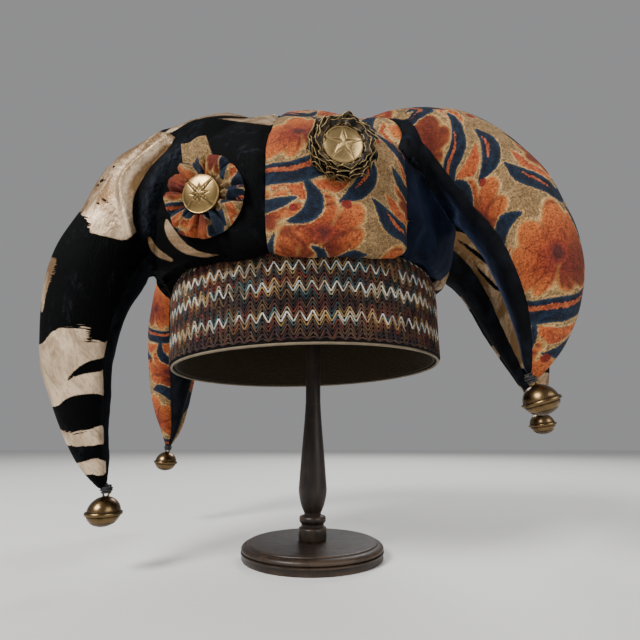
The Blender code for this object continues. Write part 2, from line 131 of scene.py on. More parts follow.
def curve_spot(a, b, c, d, t):
    """A spot between b and c on the smooth curve through four spots."""
    bend = 2 * a - 5 * b + 4 * c - d
    twist = -a + 3 * b - 3 * c + d
    return 0.5 * (2 * b + (c - a) * t + bend * t * t + twist * t ** 3)


def spline(rows, steps):
    """Rows read from a smooth curve through the given rows."""
    rows = np.array(rows, float)
    ends = np.vstack([2 * rows[0] - rows[1], rows, 2 * rows[-1] - rows[-2]])
    out = []
    for at in np.linspace(0, len(rows) - 1, steps):
        i = min(int(at), len(rows) - 2)
        out.append(curve_spot(*ends[i:i + 4], at - i))
    return np.array(out)


def mend(mesh, merge=None):
    """Merge the points that lie within a distance, if one is given, and turn the faces outwards."""
    shape = bmesh.new()
    shape.from_mesh(mesh)
    if merge:
        bmesh.ops.remove_doubles(shape, verts=shape.verts, dist=merge)
    bmesh.ops.recalc_face_normals(shape, faces=shape.faces)
    shape.to_mesh(mesh)
    shape.free()


def grid_mesh(name, rings, closed_ends=True):
    """A tube of quads through rings of points; the ends close on a point each."""
    count = len(rings[0])
    points = [tuple(p) for ring in rings for p in ring]
    faces = []
    for row in range(len(rings) - 1):
        for i in range(count):
            j = (i + 1) % count
            low = row * count
            faces.append((low + i, low + j, low + count + j, low + count + i))
    if closed_ends:
        for row in (0, len(rings) - 1):
            centre = len(points)
            points.append(tuple(np.mean(rings[row], axis=0)))
            for i in range(count):
                faces.append((row * count + i, row * count + (i + 1) % count, centre))
    mesh = bpy.data.meshes.new(name)
    mesh.from_pydata(points, [], faces)
    mend(mesh)
    obj = bpy.data.objects.new(name, mesh)
    bpy.context.scene.collection.objects.link(obj)
    return obj


def choose(obj):
    bpy.ops.object.select_all(action="DESELECT")
    obj.select_set(True)
    bpy.context.view_layer.objects.active = obj


def join_into(obj, others):
    choose(obj)
    for other in others:
        other.select_set(True)
    bpy.ops.object.join()


def apply_all(obj):
    choose(obj)
    for modifier in list(obj.modifiers):
        bpy.ops.object.modifier_apply(modifier=modifier.name)


CROWN_LINE = spline(CROWN_PROFILE, 90)


def crown_ring(row, angles):
    radius, height, share = row
    side = np.cos(angles) ** 2
    flare = SIDE_FLARE * side * math.exp(-(((height - FLARE_HEIGHT) / FLARE_SPREAD) ** 2))
    reach = radius + flare
    up = height + SIDE_LIFT * side * share
    return np.column_stack([reach * np.cos(angles), reach * np.sin(angles), up])


CROWN_STEPS = 180
HORN_STEPS = 56
shell = grid_mesh("shell", [to_world(crown_ring(row, full_turn(CROWN_STEPS))) for row in CROWN_LINE])

horn_frames = {}
horn_forms = []
for side, (azimuth, sections) in HORNS.items():
    azimuth = math.radians(azimuth)
    out = np.array([math.cos(azimuth), math.sin(azimuth), 0.0])
    across = np.array([-out[1], out[0], 0.0])
    table = spline(sections, 100)
    slopes = np.gradient(table[:, :2], axis=0)
    along = slopes[:, :1] * out + slopes[:, 1:] * np.array([0, 0, 1.0])
    along /= np.linalg.norm(along, axis=1)[:, None]
    back = np.cross(along, across)
    centres = table[:, :1] * out + table[:, 1:2] * np.array([0, 0, 1.0])
    travel = np.concatenate([[0], np.cumsum(np.linalg.norm(np.diff(centres, axis=0), axis=1))])
    horn_frames[side] = (centres, back, across, table[:, 2], table[:, 3], travel, along)
    turn = full_turn(HORN_STEPS)[:, None]
    rings = []
    for centre, upward, (_, _, depth, width) in zip(centres, back, table):
        rings.append(to_world(centre + upward * depth * np.cos(turn) + across * width * np.sin(turn)))
    horn_forms.append(grid_mesh("horn_" + side + "_form", rings))
join_into(shell, horn_forms)
fuse = shell.modifiers.new("Fuse", "REMESH")
fuse.mode = "VOXEL"
fuse.voxel_size = SKIN_CELL
fuse.adaptivity = 0.0
ease = shell.modifiers.new("Ease", "SMOOTH")
ease.factor = 0.5
ease.iterations = 6
apply_all(shell)


def read_points(obj):
    points = np.empty(len(obj.data.vertices) * 3)
    obj.data.vertices.foreach_get("co", points)
    return points.reshape(-1, 3)


def write_points(obj, points):
    obj.data.vertices.foreach_set("co", points.astype(np.float32).ravel())
    obj.data.update()


def read_normals(obj):
    normals = np.empty(len(obj.data.vertices) * 3)
    obj.data.vertex_normals.foreach_get("vector", normals)
    return normals.reshape(-1, 3)


def crown_place(points):
    """Height above the crown's own skin and distance up its profile, for points in the hat's frame."""
    azimuth = np.arctan2(points[:, 1], points[:, 0])
    side = np.cos(azimuth) ** 2
    reach = np.hypot(points[:, 0], points[:, 1])
    line = CROWN_LINE[::2]
    best = np.full(len(points), 1e9)
    sign = np.ones(len(points))
    place = np.zeros(len(points))
    flare = SIDE_FLARE * np.exp(-(((line[:, 1] - FLARE_HEIGHT) / FLARE_SPREAD) ** 2))
    lengths = np.hypot(*np.diff(line[:, :2], axis=0).T)
    travel = np.concatenate([[0], np.cumsum(lengths)])
    for i in range(len(line) - 1):
        ax = line[i, 0] + flare[i] * side
        az = line[i, 1] + SIDE_LIFT * side * line[i, 2]
        bx = line[i + 1, 0] + flare[i + 1] * side
        bz = line[i + 1, 1] + SIDE_LIFT * side * line[i + 1, 2]
        dx, dz = bx - ax, bz - az
        t = np.clip(((reach - ax) * dx + (points[:, 2] - az) * dz) / (dx * dx + dz * dz + 1e-12), 0, 1)
        ox, oz = reach - ax - dx * t, points[:, 2] - az - dz * t
        far = np.hypot(ox, oz)
        nearer = far < best
        best = np.where(nearer, far, best)
        sign = np.where(nearer, np.sign(ox * dz - oz * dx), sign)
        place = np.where(nearer, travel[i] + t * lengths[i], place)
    return best * sign, place


def horn_place(points, side):
    """Distance along a horn, angle round it from its outer ridge, and the size of its section there."""
    centres, back, across, depth, width, travel, along = horn_frames[side]
    best = np.full(len(points), 1e9)
    index = np.zeros(len(points), int)
    for i in range(len(centres)):
        far = ((points - centres[i]) ** 2).sum(1) + (((points - centres[i]) @ along[i]) ** 2) * 3
        nearer = far < best
        best = np.where(nearer, far, best)
        index = np.where(nearer, i, index)
    offset = points - centres[index]
    up = (offset * back[index]).sum(1)
    sideways = offset @ across
    angle = np.arctan2(sideways / width[index], up / depth[index])
    size = (depth[index] + width[index]) / 2
    step = (offset * along[index]).sum(1)
    return travel[index] + step, angle, size


def quads_to_triangles(obj):
    shape = bmesh.new()
    shape.from_mesh(obj.data)
    bmesh.ops.triangulate(shape, faces=shape.faces)
    shape.to_mesh(obj.data)
    shape.free()


quads_to_triangles(shell)


def triangles_of(obj):
    corners = np.empty(len(obj.data.polygons) * 3, int)
    obj.data.polygons.foreach_get("vertices", corners)
    return corners.reshape(-1, 3)


def edges_of(obj):
    ends = np.empty(len(obj.data.edges) * 2, int)
    obj.data.edges.foreach_get("vertices", ends)
    return ends.reshape(-1, 2)


# Each cut runs where a signed field changes sign. The mesh points nearest to it are drawn onto the line, so
# that every triangle lies on one side and the seam is a clean curve.
SEAM_ANGLES = {  # distance along the horn, degrees from its outer ridge
    "front_left": [(0.10, 138), (0.16, 150), (0.25, 153)],
    "front_right": [
        (0.055, 58), (0.070, 98), (0.085, 112), (0.105, 124), (0.130, 128), (0.170, 118), (0.230, 106),
    ],
    "back_left": [(0.12, 114), (0.16, 128), (0.21, 140), (0.26, 146)],
    "back_right": [(0.08, 136), (0.13, 148), (0.20, 153), (0.25, 150)],
}
GUSSET_FOOT = 0.0012  # height above the crown's skin at which the gussets start
SEAM_SECTORS = ["front_left", "front", "front_right", "back_right", "back", "back_left"]
points = read_points(shell)
triangles = triangles_of(shell)
edges = edges_of(shell)


def cut_field(points, kind):
    local = to_hat(points)
    if isinstance(kind, (int, float)):
        angle = math.radians(kind)
        return -local[:, 0] * math.sin(angle) + local[:, 1] * math.cos(angle)
    travel, angle, size = horn_place(local, kind)
    distances, angles = zip(*SEAM_ANGLES[kind])
    seam_angle = np.radians(np.interp(travel, distances, angles))
    outside = crown_place(local)[0] - GUSSET_FOOT
    if kind == "front_right":
        return np.minimum((seam_angle - np.abs(angle)) * size, outside)
    return np.minimum((np.abs(angle) - seam_angle) * size, outside)


def sector_of(points):
    local = to_hat(points)
    azimuth = (np.degrees(np.arctan2(local[:, 1], local[:, 0])) - SEAM["left"]) % 360
    starts = [(start - SEAM["left"]) % 360 for start in SEAM.values()]
    return np.searchsorted(starts, azimuth, side="right") - 1


def draw_onto(points, field, allowed):
    """Move the nearer end of each crossed edge onto the line where the field is zero."""
    values = field(points)
    crossed = edges[(values[edges].prod(1) < 0) & allowed[edges].all(1)]
    share = values[crossed[:, 0]] / (values[crossed[:, 0]] - values[crossed[:, 1]])
    first = share < 0.5
    moved = np.where(first, crossed[:, 0], crossed[:, 1])
    target = points[crossed[:, 0]] + (points[crossed[:, 1]] - points[crossed[:, 0]]) * share[:, None]
    total = np.zeros_like(points)
    count = np.zeros(len(points))
    np.add.at(total, moved, target)
    np.add.at(count, moved, 1)
    hit = count > 0
    points = points.copy()
    points[hit] = total[hit] / count[hit][:, None]
    values[hit] = 0
    return points, values


for azimuth in SEAM.values():
    angle = math.radians(azimuth)
    local = to_hat(points)
    ahead = local[:, 0] * math.cos(angle) + local[:, 1] * math.sin(angle) > -0.001
    points, _ = draw_onto(points, lambda p, a=azimuth: cut_field(p, a), ahead)
horn_values = {}
for side in HORNS:
    sector = SEAM_SECTORS.index(side)
    mine = sector_of(points) == sector
    reach = mine.copy()
    touching = edges[mine[edges[:, 0]] | mine[edges[:, 1]]]
    reach[touching.ravel()] = True
    points, values = draw_onto(points, lambda p, s=side: cut_field(p, s), reach)
    horn_values[side] = values
write_points(shell, points)

face_middle = points[triangles].mean(1)
face_sector = sector_of(face_middle)
OPENING_RADIUS = 0.0862
OPENING_TOP = 0.0675
PANELS = {
    "front_left": ("horn_front_left", "horn_front_left_under"),
    "front": ("crown_front", None),
    "front_right": ("crown_right", "horn_front_right"),
    "back_right": ("horn_back_right", "horn_back_right_under"),
    "back": ("crown_back", None),
    "back_left": ("horn_back_left", "horn_back_left_under"),
}
local_middle = to_hat(face_middle)
opening = (np.hypot(*local_middle[:, :2].T) < OPENING_RADIUS) & (local_middle[:, 2] < OPENING_TOP)
labels = np.empty(len(triangles), object)
for number, sector in enumerate(SEAM_SECTORS):
    mine = face_sector == number
    main, other = PANELS[sector]
    labels[mine] = main
    if other:
        inside = horn_values[sector][triangles].max(1) + horn_values[sector][triangles].min(1) > 0
        labels[mine & inside] = other

# Seams draw the cloth in, and the filling swells it between them. Small puckers run off the stitches.
CREASE_DEPTH = 0.0022
CREASE_WIDTH = 0.0042
SWELL = 0.0012
SWELL_WIDTH = 0.016
PUCKER = 0.0007
PUCKER_REACH = 0.008
PUCKERS_PER_METRE = 150
WAVE = 0.0009
WAVES_PER_METRE = 38
triangles = triangles[~opening]
labels = labels[~opening]
label_names = sorted(set(labels))
label_number = np.array([label_names.index(name) for name in labels])
lowest = np.full(len(points), 99)
highest = np.full(len(points), -1)
rest_points = to_hat(points)
for corner in range(3):
    np.minimum.at(lowest, triangles[:, corner], label_number)
    np.maximum.at(highest, triangles[:, corner], label_number)
on_seam = lowest != highest


def distance_to(targets, spots):
    """How far each spot lies from the nearest of the targets."""
    nearest = KDTree(len(targets))
    for i, target in enumerate(targets):
        nearest.insert(target, i)
    nearest.balance()
    return np.array([nearest.find(spot)[2] for spot in spots])


seam_gap = distance_to(points[on_seam], points)
normals = read_normals(shell)
pucker = np.array([noise.noise(Vector(p) * PUCKERS_PER_METRE) for p in points])
softness = np.array([noise.noise(Vector(p) * WAVES_PER_METRE) for p in points])
draw_in = -CREASE_DEPTH * np.exp(-((seam_gap / CREASE_WIDTH) ** 2))
swell = SWELL * (1 - np.exp(-((seam_gap / SWELL_WIDTH) ** 2)))
pull = PUCKER * pucker * np.exp(-seam_gap / PUCKER_REACH)
wave = WAVE * softness
shift = draw_in + swell + pull + wave

# Larger folds, as lines in the picture: how far the cloth stands out, and how wide the fold is in pixels.
ZEBRA_FOLDS = [
    (0.0042, 3.8, [(169, 140), (148, 157), (129, 176), (123.5, 195), (129.5, 234)]),
    (-0.0030, 4.5, [(166, 147), (150, 162), (140, 182), (138, 205), (141, 236)]),
]
# A fold in the black velvet, along which the pile also carries a painted highlight.
LIT_FOLD = [(180, 150), (163, 168), (150, 196), (146, 230)]
FOLDS = ZEBRA_FOLDS + [
    (0.0024, 5.0, LIT_FOLD),
    (0.0034, 7.0, [(409, 142), (417, 168), (432, 192), (446, 232)]),
    (-0.0030, 7.0, [(402, 118), (424, 172), (452, 215)]),
    (0.0022, 7.0, [(414, 182), (420, 215), (428, 250), (436, 282)]),
    (-0.0018, 6.0, [(411, 205), (414, 235), (422, 262)]),
    (0.0016, 6.0, [(160, 215), (176, 236), (200, 250)]),
    (-0.0016, 4.0, [(166, 222), (180, 240), (205, 254)]),
    (0.0060, 22.0, [(275, 152), (340, 152), (398, 156)]),
    (0.0030, 20.0, [(190, 180), (215, 190)]),
    (-0.0046, 11.0, [(164, 289), (178, 279), (198, 268), (222, 260)]),
]
NEAR_HALF = 0.02  # the hat's own depth, up to which the picture shows the cloth
OUTLINE_HALF = 0.05
EDGE_ON = 0.25
seen = seen_at(points)
to_viewer = CAMERA_PLACE - points
turned_to_viewer = (normals * to_viewer).sum(1)
near_side = (turned_to_viewer > 0) & (rest_points[:, 1] < NEAR_HALF)
edge_on = np.abs(turned_to_viewer) / np.linalg.norm(to_viewer, axis=1) < EDGE_ON
on_outline = edge_on & (rest_points[:, 1] < OUTLINE_HALF)
for rise, width, line in FOLDS:
    line = spline(line, 24)
    best = np.full(len(points), 1e9)
    for a, b in zip(line[:-1], line[1:]):
        run = b - a
        t = np.clip(((seen - a) @ run) / (run @ run), 0, 1)
        best = np.minimum(best, np.hypot(*(seen - a - t[:, None] * run).T))
    shift += np.where(near_side, rise * np.exp(-((best / width) ** 2)), 0)
SHAPES = [  # where the top edge stands lower or higher: rise, reach in metres, places in the picture
    (-0.0056, 0.016, [(146, 138), (156, 132), (168, 124)]),
    (-0.0040, 0.016, [(182, 117), (196, 113)]),
    (0.0013, 0.018, [(228, 117), (244, 119), (260, 117)]),
    (0.0008, 0.010, [(247, 116)]),
    (-0.0012, 0.007, [(266, 114)]),
]
for rise, reach, places in SHAPES:
    best = np.full(len(points), 1e9)
    for place in places:
        off = np.hypot(*(seen - place).T) + np.where(on_outline, 0, 1000)
        anchor = points[off < off.min() + 2].mean(0)
        best = np.minimum(best, np.linalg.norm(points - anchor, axis=1))
    shift += rise * np.exp(-((best / reach) ** 2))
points = points + normals * shift[:, None]
write_points(shell, points)
normals = read_normals(shell)
seen = seen_at(points)


# The panels, one cut of cloth each. A panel leaves the shell as its own sheet with a wall of cloth. It
# carries the place of each point on the flat cloth, in millimetres, for its pattern to follow.
CLOTH_WALL = 0.0018
crown_rise, crown_travel = crown_place(rest_points)
crown_azimuth = np.degrees(np.arctan2(rest_points[:, 1], rest_points[:, 0])) % 360
cloth_place = {}
for side in HORNS:
    travel, angle, size = horn_place(rest_points, side)
    cloth_place[side] = (1000 * angle * size, 1000 * travel, np.degrees(angle))


def add_attribute(obj, name, values):
    values = np.asarray(values, np.float32)
    kind, key = ("FLOAT", "value") if values.ndim == 1 else ("FLOAT_VECTOR", "vector")
    obj.data.attributes.new(name, kind, "POINT").data.foreach_set(key, values.ravel())


def make_panel(name):
    mine = labels == name
    used, corners = np.unique(triangles[mine], return_inverse=True)
    mesh = bpy.data.meshes.new(name + "_cloth")
    mesh.from_pydata(points[used].tolist(), [], corners.reshape(-1, 3).tolist())
    mesh.shade_smooth()
    panel = bpy.data.objects.new(name + "_cloth", mesh)
    bpy.context.scene.collection.objects.link(panel)
    return panel, used


def finish_panel(panel, material, node_name):
    panel.data.materials.append(material)
    wall = panel.modifiers.new("Wall", "SOLIDIFY")
    wall.thickness = CLOTH_WALL
    wall.offset = -1
    apply_all(panel)
    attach(panel, "root")
    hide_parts(node_name)


def is_socket(value):
    return isinstance(value, bpy.types.NodeSocket)


def node(near, kind, values=None, **settings):
    """A node in the material of another node or socket, with its settings, and its sockets set or linked."""
    tree = near.id_data
    made = tree.nodes.new("ShaderNode" + kind)
    for key, value in settings.items():
        setattr(made, key, value)
    for key, value in (values or {}).items():
        if is_socket(value):
            tree.links.new(value, made.inputs[key])
        else:
            made.inputs[key].default_value = value
    return made


def start_material(
    name, roughness=0.6, metallic=0.0, sheen=0.0, sheen_tint=(1, 1, 1), coat=0.0, specular=0.5
):
    material = bpy.data.materials.new(name)
    material.use_nodes = True
    shader = material.node_tree.nodes["Principled BSDF"]
    for socket, value in (
        ("Roughness", roughness), ("Metallic", metallic), ("Sheen Weight", sheen), ("Sheen Roughness", 0.35),
        ("Sheen Tint", (*sheen_tint, 1)), ("Coat Weight", coat), ("Coat Roughness", 0.3),
        ("Specular IOR Level", specular),
    ):
        shader.inputs[socket].default_value = value
    return material, shader


def feed(shader, socket, value):
    shader.id_data.links.new(value, shader.inputs[socket])


def field(shader, name, output="Fac"):
    return node(shader, "Attribute", attribute_name=name).outputs[output]


def object_place(shader):
    return node(shader, "TexCoord").outputs["Object"]


def maths(operation, a, b, clamp=False):
    near = a if is_socket(a) else b
    return node(near, "Math", {0: a, 1: b}, operation=operation, use_clamp=clamp).outputs[0]


def plus(a, b, clamp=False):
    return maths("ADD", a, b, clamp)


def minus(a, b):
    return maths("SUBTRACT", a, b)


def times(a, b):
    return maths("MULTIPLY", a, b)


def mixed(factor, a, b, mode="MIX"):
    near = next(value for value in (factor, a, b) if is_socket(value))
    a, b = (value if is_socket(value) else (*value, 1) for value in (a, b))
    return node(near, "Mix", {0: factor, 6: a, 7: b}, data_type="RGBA", blend_type=mode).outputs[2]


def stretched(vector, scale):
    return node(vector, "VectorMath", {0: vector, 1: scale}, operation="MULTIPLY").outputs[0]


def grain(vector, scale, detail=2.0, roughness=0.5, distortion=0.0):
    made = node(vector, "TexNoise", {
        "Vector": vector, "Scale": scale, "Detail": detail, "Roughness": roughness, "Distortion": distortion,
    })
    return made.outputs[0]


def between(value, low, high, to_low=0.0, to_high=1.0):
    return node(value, "MapRange", {0: value, 1: low, 2: high, 3: to_low, 4: to_high}).outputs[0]


def streaks(cloth, across, along, *finish):
    """Grain drawn out along or across the cloth, so many to the millimetre each way."""
    return grain(stretched(cloth, (across, along, 1)), 1.0, *finish)


def swing(value, size):
    """A grain from 0 to 1 made to swing about zero."""
    return times(minus(value, 0.5), size)


def layered(*layers):
    """Grains laid over one another, each as strong as the number beside it."""
    total = times(*layers[0])
    for layer, strength in layers[1:]:
        total = plus(total, times(layer, strength))
    return total


def bump(shader, height, distance):
    feed(shader, "Normal", node(height, "Bump", {"Distance": distance, "Height": height}).outputs[0])


bpy.data.objects.remove(shell)


# Zebra velvet. Cream and tan marks are printed on black velvet with a dry brush, so their long edges are
# clean and their ends break into streaks. It makes the front left and the back right horns.
def closed_curve(corners, steps=6):
    """A smooth closed line through corner points."""
    corners = np.array(corners, float)
    count = len(corners)
    line = []
    for i in range(count):
        nearby = [corners[(i + k) % count] for k in (-1, 0, 1, 2)]
        for t in np.linspace(0, 1, steps, endpoint=False):
            line.append(curve_spot(*nearby, t))
    return np.array(line)


def patch_distance(u, v, line):
    """Signed distance to a closed line, inside negative."""
    best = np.full(len(u), 1e9)
    inside = np.zeros(len(u), bool)
    for a, b in zip(line, np.roll(line, -1, axis=0)):
        run = b - a
        t = np.clip(((u - a[0]) * run[0] + (v - a[1]) * run[1]) / (run @ run + 1e-12), 0, 1)
        best = np.minimum(best, np.hypot(u - a[0] - t * run[0], v - a[1] - t * run[1]))
        crossing = (v > min(a[1], b[1])) & (v <= max(a[1], b[1]))
        if a[1] != b[1]:
            inside ^= crossing & (u < (v - a[1]) * run[0] / run[1] + a[0])
    return np.where(inside, -best, best)


def stroke_distance(u, v, rows, steps=None):
    """Signed distance to a brush stroke whose rows are place and half width."""
    rows = spline(rows, steps or 4 * len(rows))
    best = np.full(len(u), 1e9)
    for a, b in zip(rows[:-1], rows[1:]):
        run = b[:2] - a[:2]
        t = np.clip(((u - a[0]) * run[0] + (v - a[1]) * run[1]) / (run @ run + 1e-12), 0, 1)
        far = np.hypot(u - a[0] - t * run[0], v - a[1] - t * run[1])
        best = np.minimum(best, far - a[2] - t * (b[2] - a[2]))
    return best


def on_cloth(side, rows):
    """Marks given as distance along the horn in mm and degrees round it, laid out on the flat cloth."""
    _, _, _, depth, width, travel, _ = horn_frames[side]
    laid = []
    for row in rows:
        size = np.interp(row[0] / 1000, travel, (depth + width) / 2) * 1000
        laid.append((math.radians(row[1]) * size, row[0], *row[2:]))
    return laid


LEFT_MARKS = [  # closed shapes: distance along the horn in mm, degrees round it from the outer ridge
    [(61, 56), (58, 90), (67, 95), (76, 97), (85, 99), (91, 101), (98, 103), (105, 105), (113, 108),
     (121, 110), (127, 104), (131, 84), (132, 70), (127, 62), (124, 46), (121, 32), (118, 8), (111, -16),
     (98, -32), (84, -26), (71, 0), (63, 34)],
    [(150, 32), (152, 45), (158, 44), (163, 41), (170, 37), (179, 33), (177, 18), (168, 4), (158, -2),
     (150, 12)],
    [(196, 36), (191, 58), (189, 74), (189, 92), (188, 104), (193, 110), (197, 108), (196, 124), (196, 140),
     (193, 158), (203, 158), (206, 148), (209, 114), (213, 92), (219, 72), (217, 92), (216, 135),
     (215, 158), (230, 153), (229, 120), (228, 82), (229, 62), (231, 42), (230, 12), (226, -22), (216, -46),
     (205, -52), (198, -32), (195, 0)],
    [(247, 44), (248, 72), (249, 82), (249, 152), (259, 152), (259, 115), (256, 56), (254, 30), (252, -40),
     (246, -44), (244, 10)],
    [(265, 44), (266, 95), (270, 132), (270, 165), (276, 168), (277, 100), (274, 60), (272, 0), (268, -50),
     (264, -20)],
    [(88, -152), (92, -100), (97, -64), (106, -60), (104, -96), (99, -130), (96, -152)],
    [(138, -152), (141, -105), (150, -62), (160, -42), (158, -82), (150, -120), (148, -152)],
    [(172, -152), (168, -92), (176, -40), (182, -62), (184, -112), (182, -152)],
    [(208, -155), (212, -92), (220, -74), (224, -110), (220, -155)],
    [(238, -158), (237, -100), (243, -70), (250, -100), (250, -158)],
]
LEFT_STROKES = [  # black brush marks inside the cream: distance, degrees, half width in mm
    [(91, 38, 0.2), (91.5, 42, 0.8), (92, 47, 0.2)],
    [(101, 32, 0.2), (101, 38, 1.0), (100, 44, 0.2)],
    [(104, 30, 0.2), (104, 36, 0.8), (103.5, 41, 0.1)],
    [(111, 54, 0.2), (112, 62, 0.7), (112, 74, 0.1)],
    [(115, 52, 0.2), (115, 56, 0.7), (115.5, 62, 0.1)],
    [(99, -10, 0.2), (101, -16, 1.0), (104, -24, 0.2)],
    [(214, 5, 0.2), (213, -10, 1.0), (212, -28, 0.2)],
]
LEFT_RAGGED = [
    (127, 58), (123, 40), (192, 108), (190, 100), (158, 44), (250, 78), (104, -58), (158, -45), (216, -50),
]
CROWN_MARKS = [  # closed shapes: degrees round the hat, distance up the crown's cloth in mm
    [(226, 215), (244, 205), (260, 198), (258, 206), (240, 214), (228, 222)],
    [(214, 176), (224, 168), (232, 178), (226, 192), (216, 190)],
]
CROWN_DEGREE = 1.85  # millimetres of cloth to a degree

zebra, shader = start_material("zebra_velvet", specular=0.04)
cloth = field(shader, "cloth", "Vector")
streak = streaks(cloth, 0.10, 1.15, 2)
fuzz = grain(cloth, 1.6, 3)
worn = swing(streak, times(field(shader, "ragged"), 16.0))
fuzzy = swing(fuzz, 1.3)
edge = plus(plus(field(shader, "mark"), worn), fuzzy)
printed = between(edge, -0.25, 0.15, 1.0, 0.0)
mottle = streaks(cloth, 0.09, 0.05, 4, 0.65, 0.5)
brushed = streaks(cloth, 0.75, 0.22, 3, 0.6)
speck = grain(cloth, 2.4, 2)
# The cream's tone is its random mottling plus painted light and shade laid down with the marks: painted
# highlights on fold crests, painted shade in fold valleys and on the back right horn.
tone_and_painted_light = plus(field(shader, "tone_and_painted_light"), swing(mottle, 3.0), clamp=True)
cream = mixed(tone_and_painted_light, (0.155, 0.088, 0.037), (0.68, 0.515, 0.35))
cream = mixed(between(brushed, 0.50, 0.74, 0.0, 0.6), cream, (0.19, 0.110, 0.060))
cream = mixed(between(speck, 0.52, 0.72, 0.0, 0.45), cream, (0.24, 0.155, 0.095))
# Painted sheen: the black pile is painted lighter and bluer in crushed streaks and along the lit fold,
# standing in for light caught by the velvet.
crushed = streaks(cloth, 0.10, 0.045, 4, 0.6, 0.6)
shimmer = streaks(cloth, 0.55, 0.18, 3, 0.65, 0.4)
painted_pile_sheen = times(between(crushed, 0.54, 0.78), between(shimmer, 0.46, 0.74))
painted_fold_highlight = times(field(shader, "lit"), between(shimmer, 0.38, 0.66, 0.1, 0.9))
painted_pile_sheen = plus(painted_pile_sheen, painted_fold_highlight, clamp=True)
black = mixed(painted_pile_sheen, (0.0009, 0.0010, 0.0012), (0.022, 0.027, 0.038))
feed(shader, "Base Color", mixed(printed, black, cream))
feed(shader, "Metallic", times(printed, 0.5))
pile = grain(cloth, 3.2, 2)
satin = plus(between(printed, 0, 1, 0.66, 0.29), times(brushed, 0.14))
feed(shader, "Roughness", satin)
bump(shader, layered((crushed, 1.6), (pile, 0.25), (brushed, 0.7), (printed, 0.12)), 0.0007)

FIRST_PATCH_SIDE = [  # the first mark lies inside this line in the picture, where the fold runs
    (60, 90), (172, 132), (174, 139), (166, 151), (151, 166), (141.5, 181), (134.5, 195), (132.5, 209),
    (133, 222), (133.4, 246), (60, 262),
]
CRESCENTS = [  # marks below the rosette, drawn in the picture
    [(166.8, 219), (175.4, 231), (185.7, 243), (201, 252), (222, 255.6), (211, 257.8), (194, 256),
     (180, 251), (168.6, 239.5), (164.6, 228)],
    [(149.4, 236), (158.3, 248.6), (173, 259.6), (168, 261), (154.5, 254.4), (148.4, 243)],
]
STRIP_LINE = [  # the mark along the top of the crown, over its silhouette
    (160, 137), (172, 127), (184, 118), (198, 111), (216, 107), (240, 105), (275, 104), (275, 124),
    (252, 123), (232, 120.5), (216, 118.5), (202, 118.5), (190, 121.5), (174, 131),
]
STRIP_STREAKS = [[(188, 123, 0.3), (204, 119, 1.3), (222, 117, 1.5), (240, 117.5, 0.9), (256, 118, 0.2)]]
PIXELS_PER_MM = 1.7
HIDDEN_SIDE = 60  # pixels that keep a mark of the picture off the cloth that the picture doesn't show
# Width of the painted highlight along the lit fold.
PAINTED_HIGHLIGHT_WIDTH = 6.5  # pixels
# How much painted light a zebra fold lays on its crest, and painted shade in its valley.
FOLD_PAINTED_LIGHT = 190
OFF_MARKS = 30.0  # millimetres that count as far from every mark
CROWN_MARK_RISE = (0.030, 0.006)  # how far off the crown's own skin its marks reach, near the top and below
CROWN_MARK_LEVEL = 120
BRUSH_WIDTH = 9  # a ragged end of a mark, across the horn and along it
BRUSH_LENGTH = 6


def fold_distance(x, y, line):
    return stroke_distance(x, y, [(*place, 0.0) for place in line])


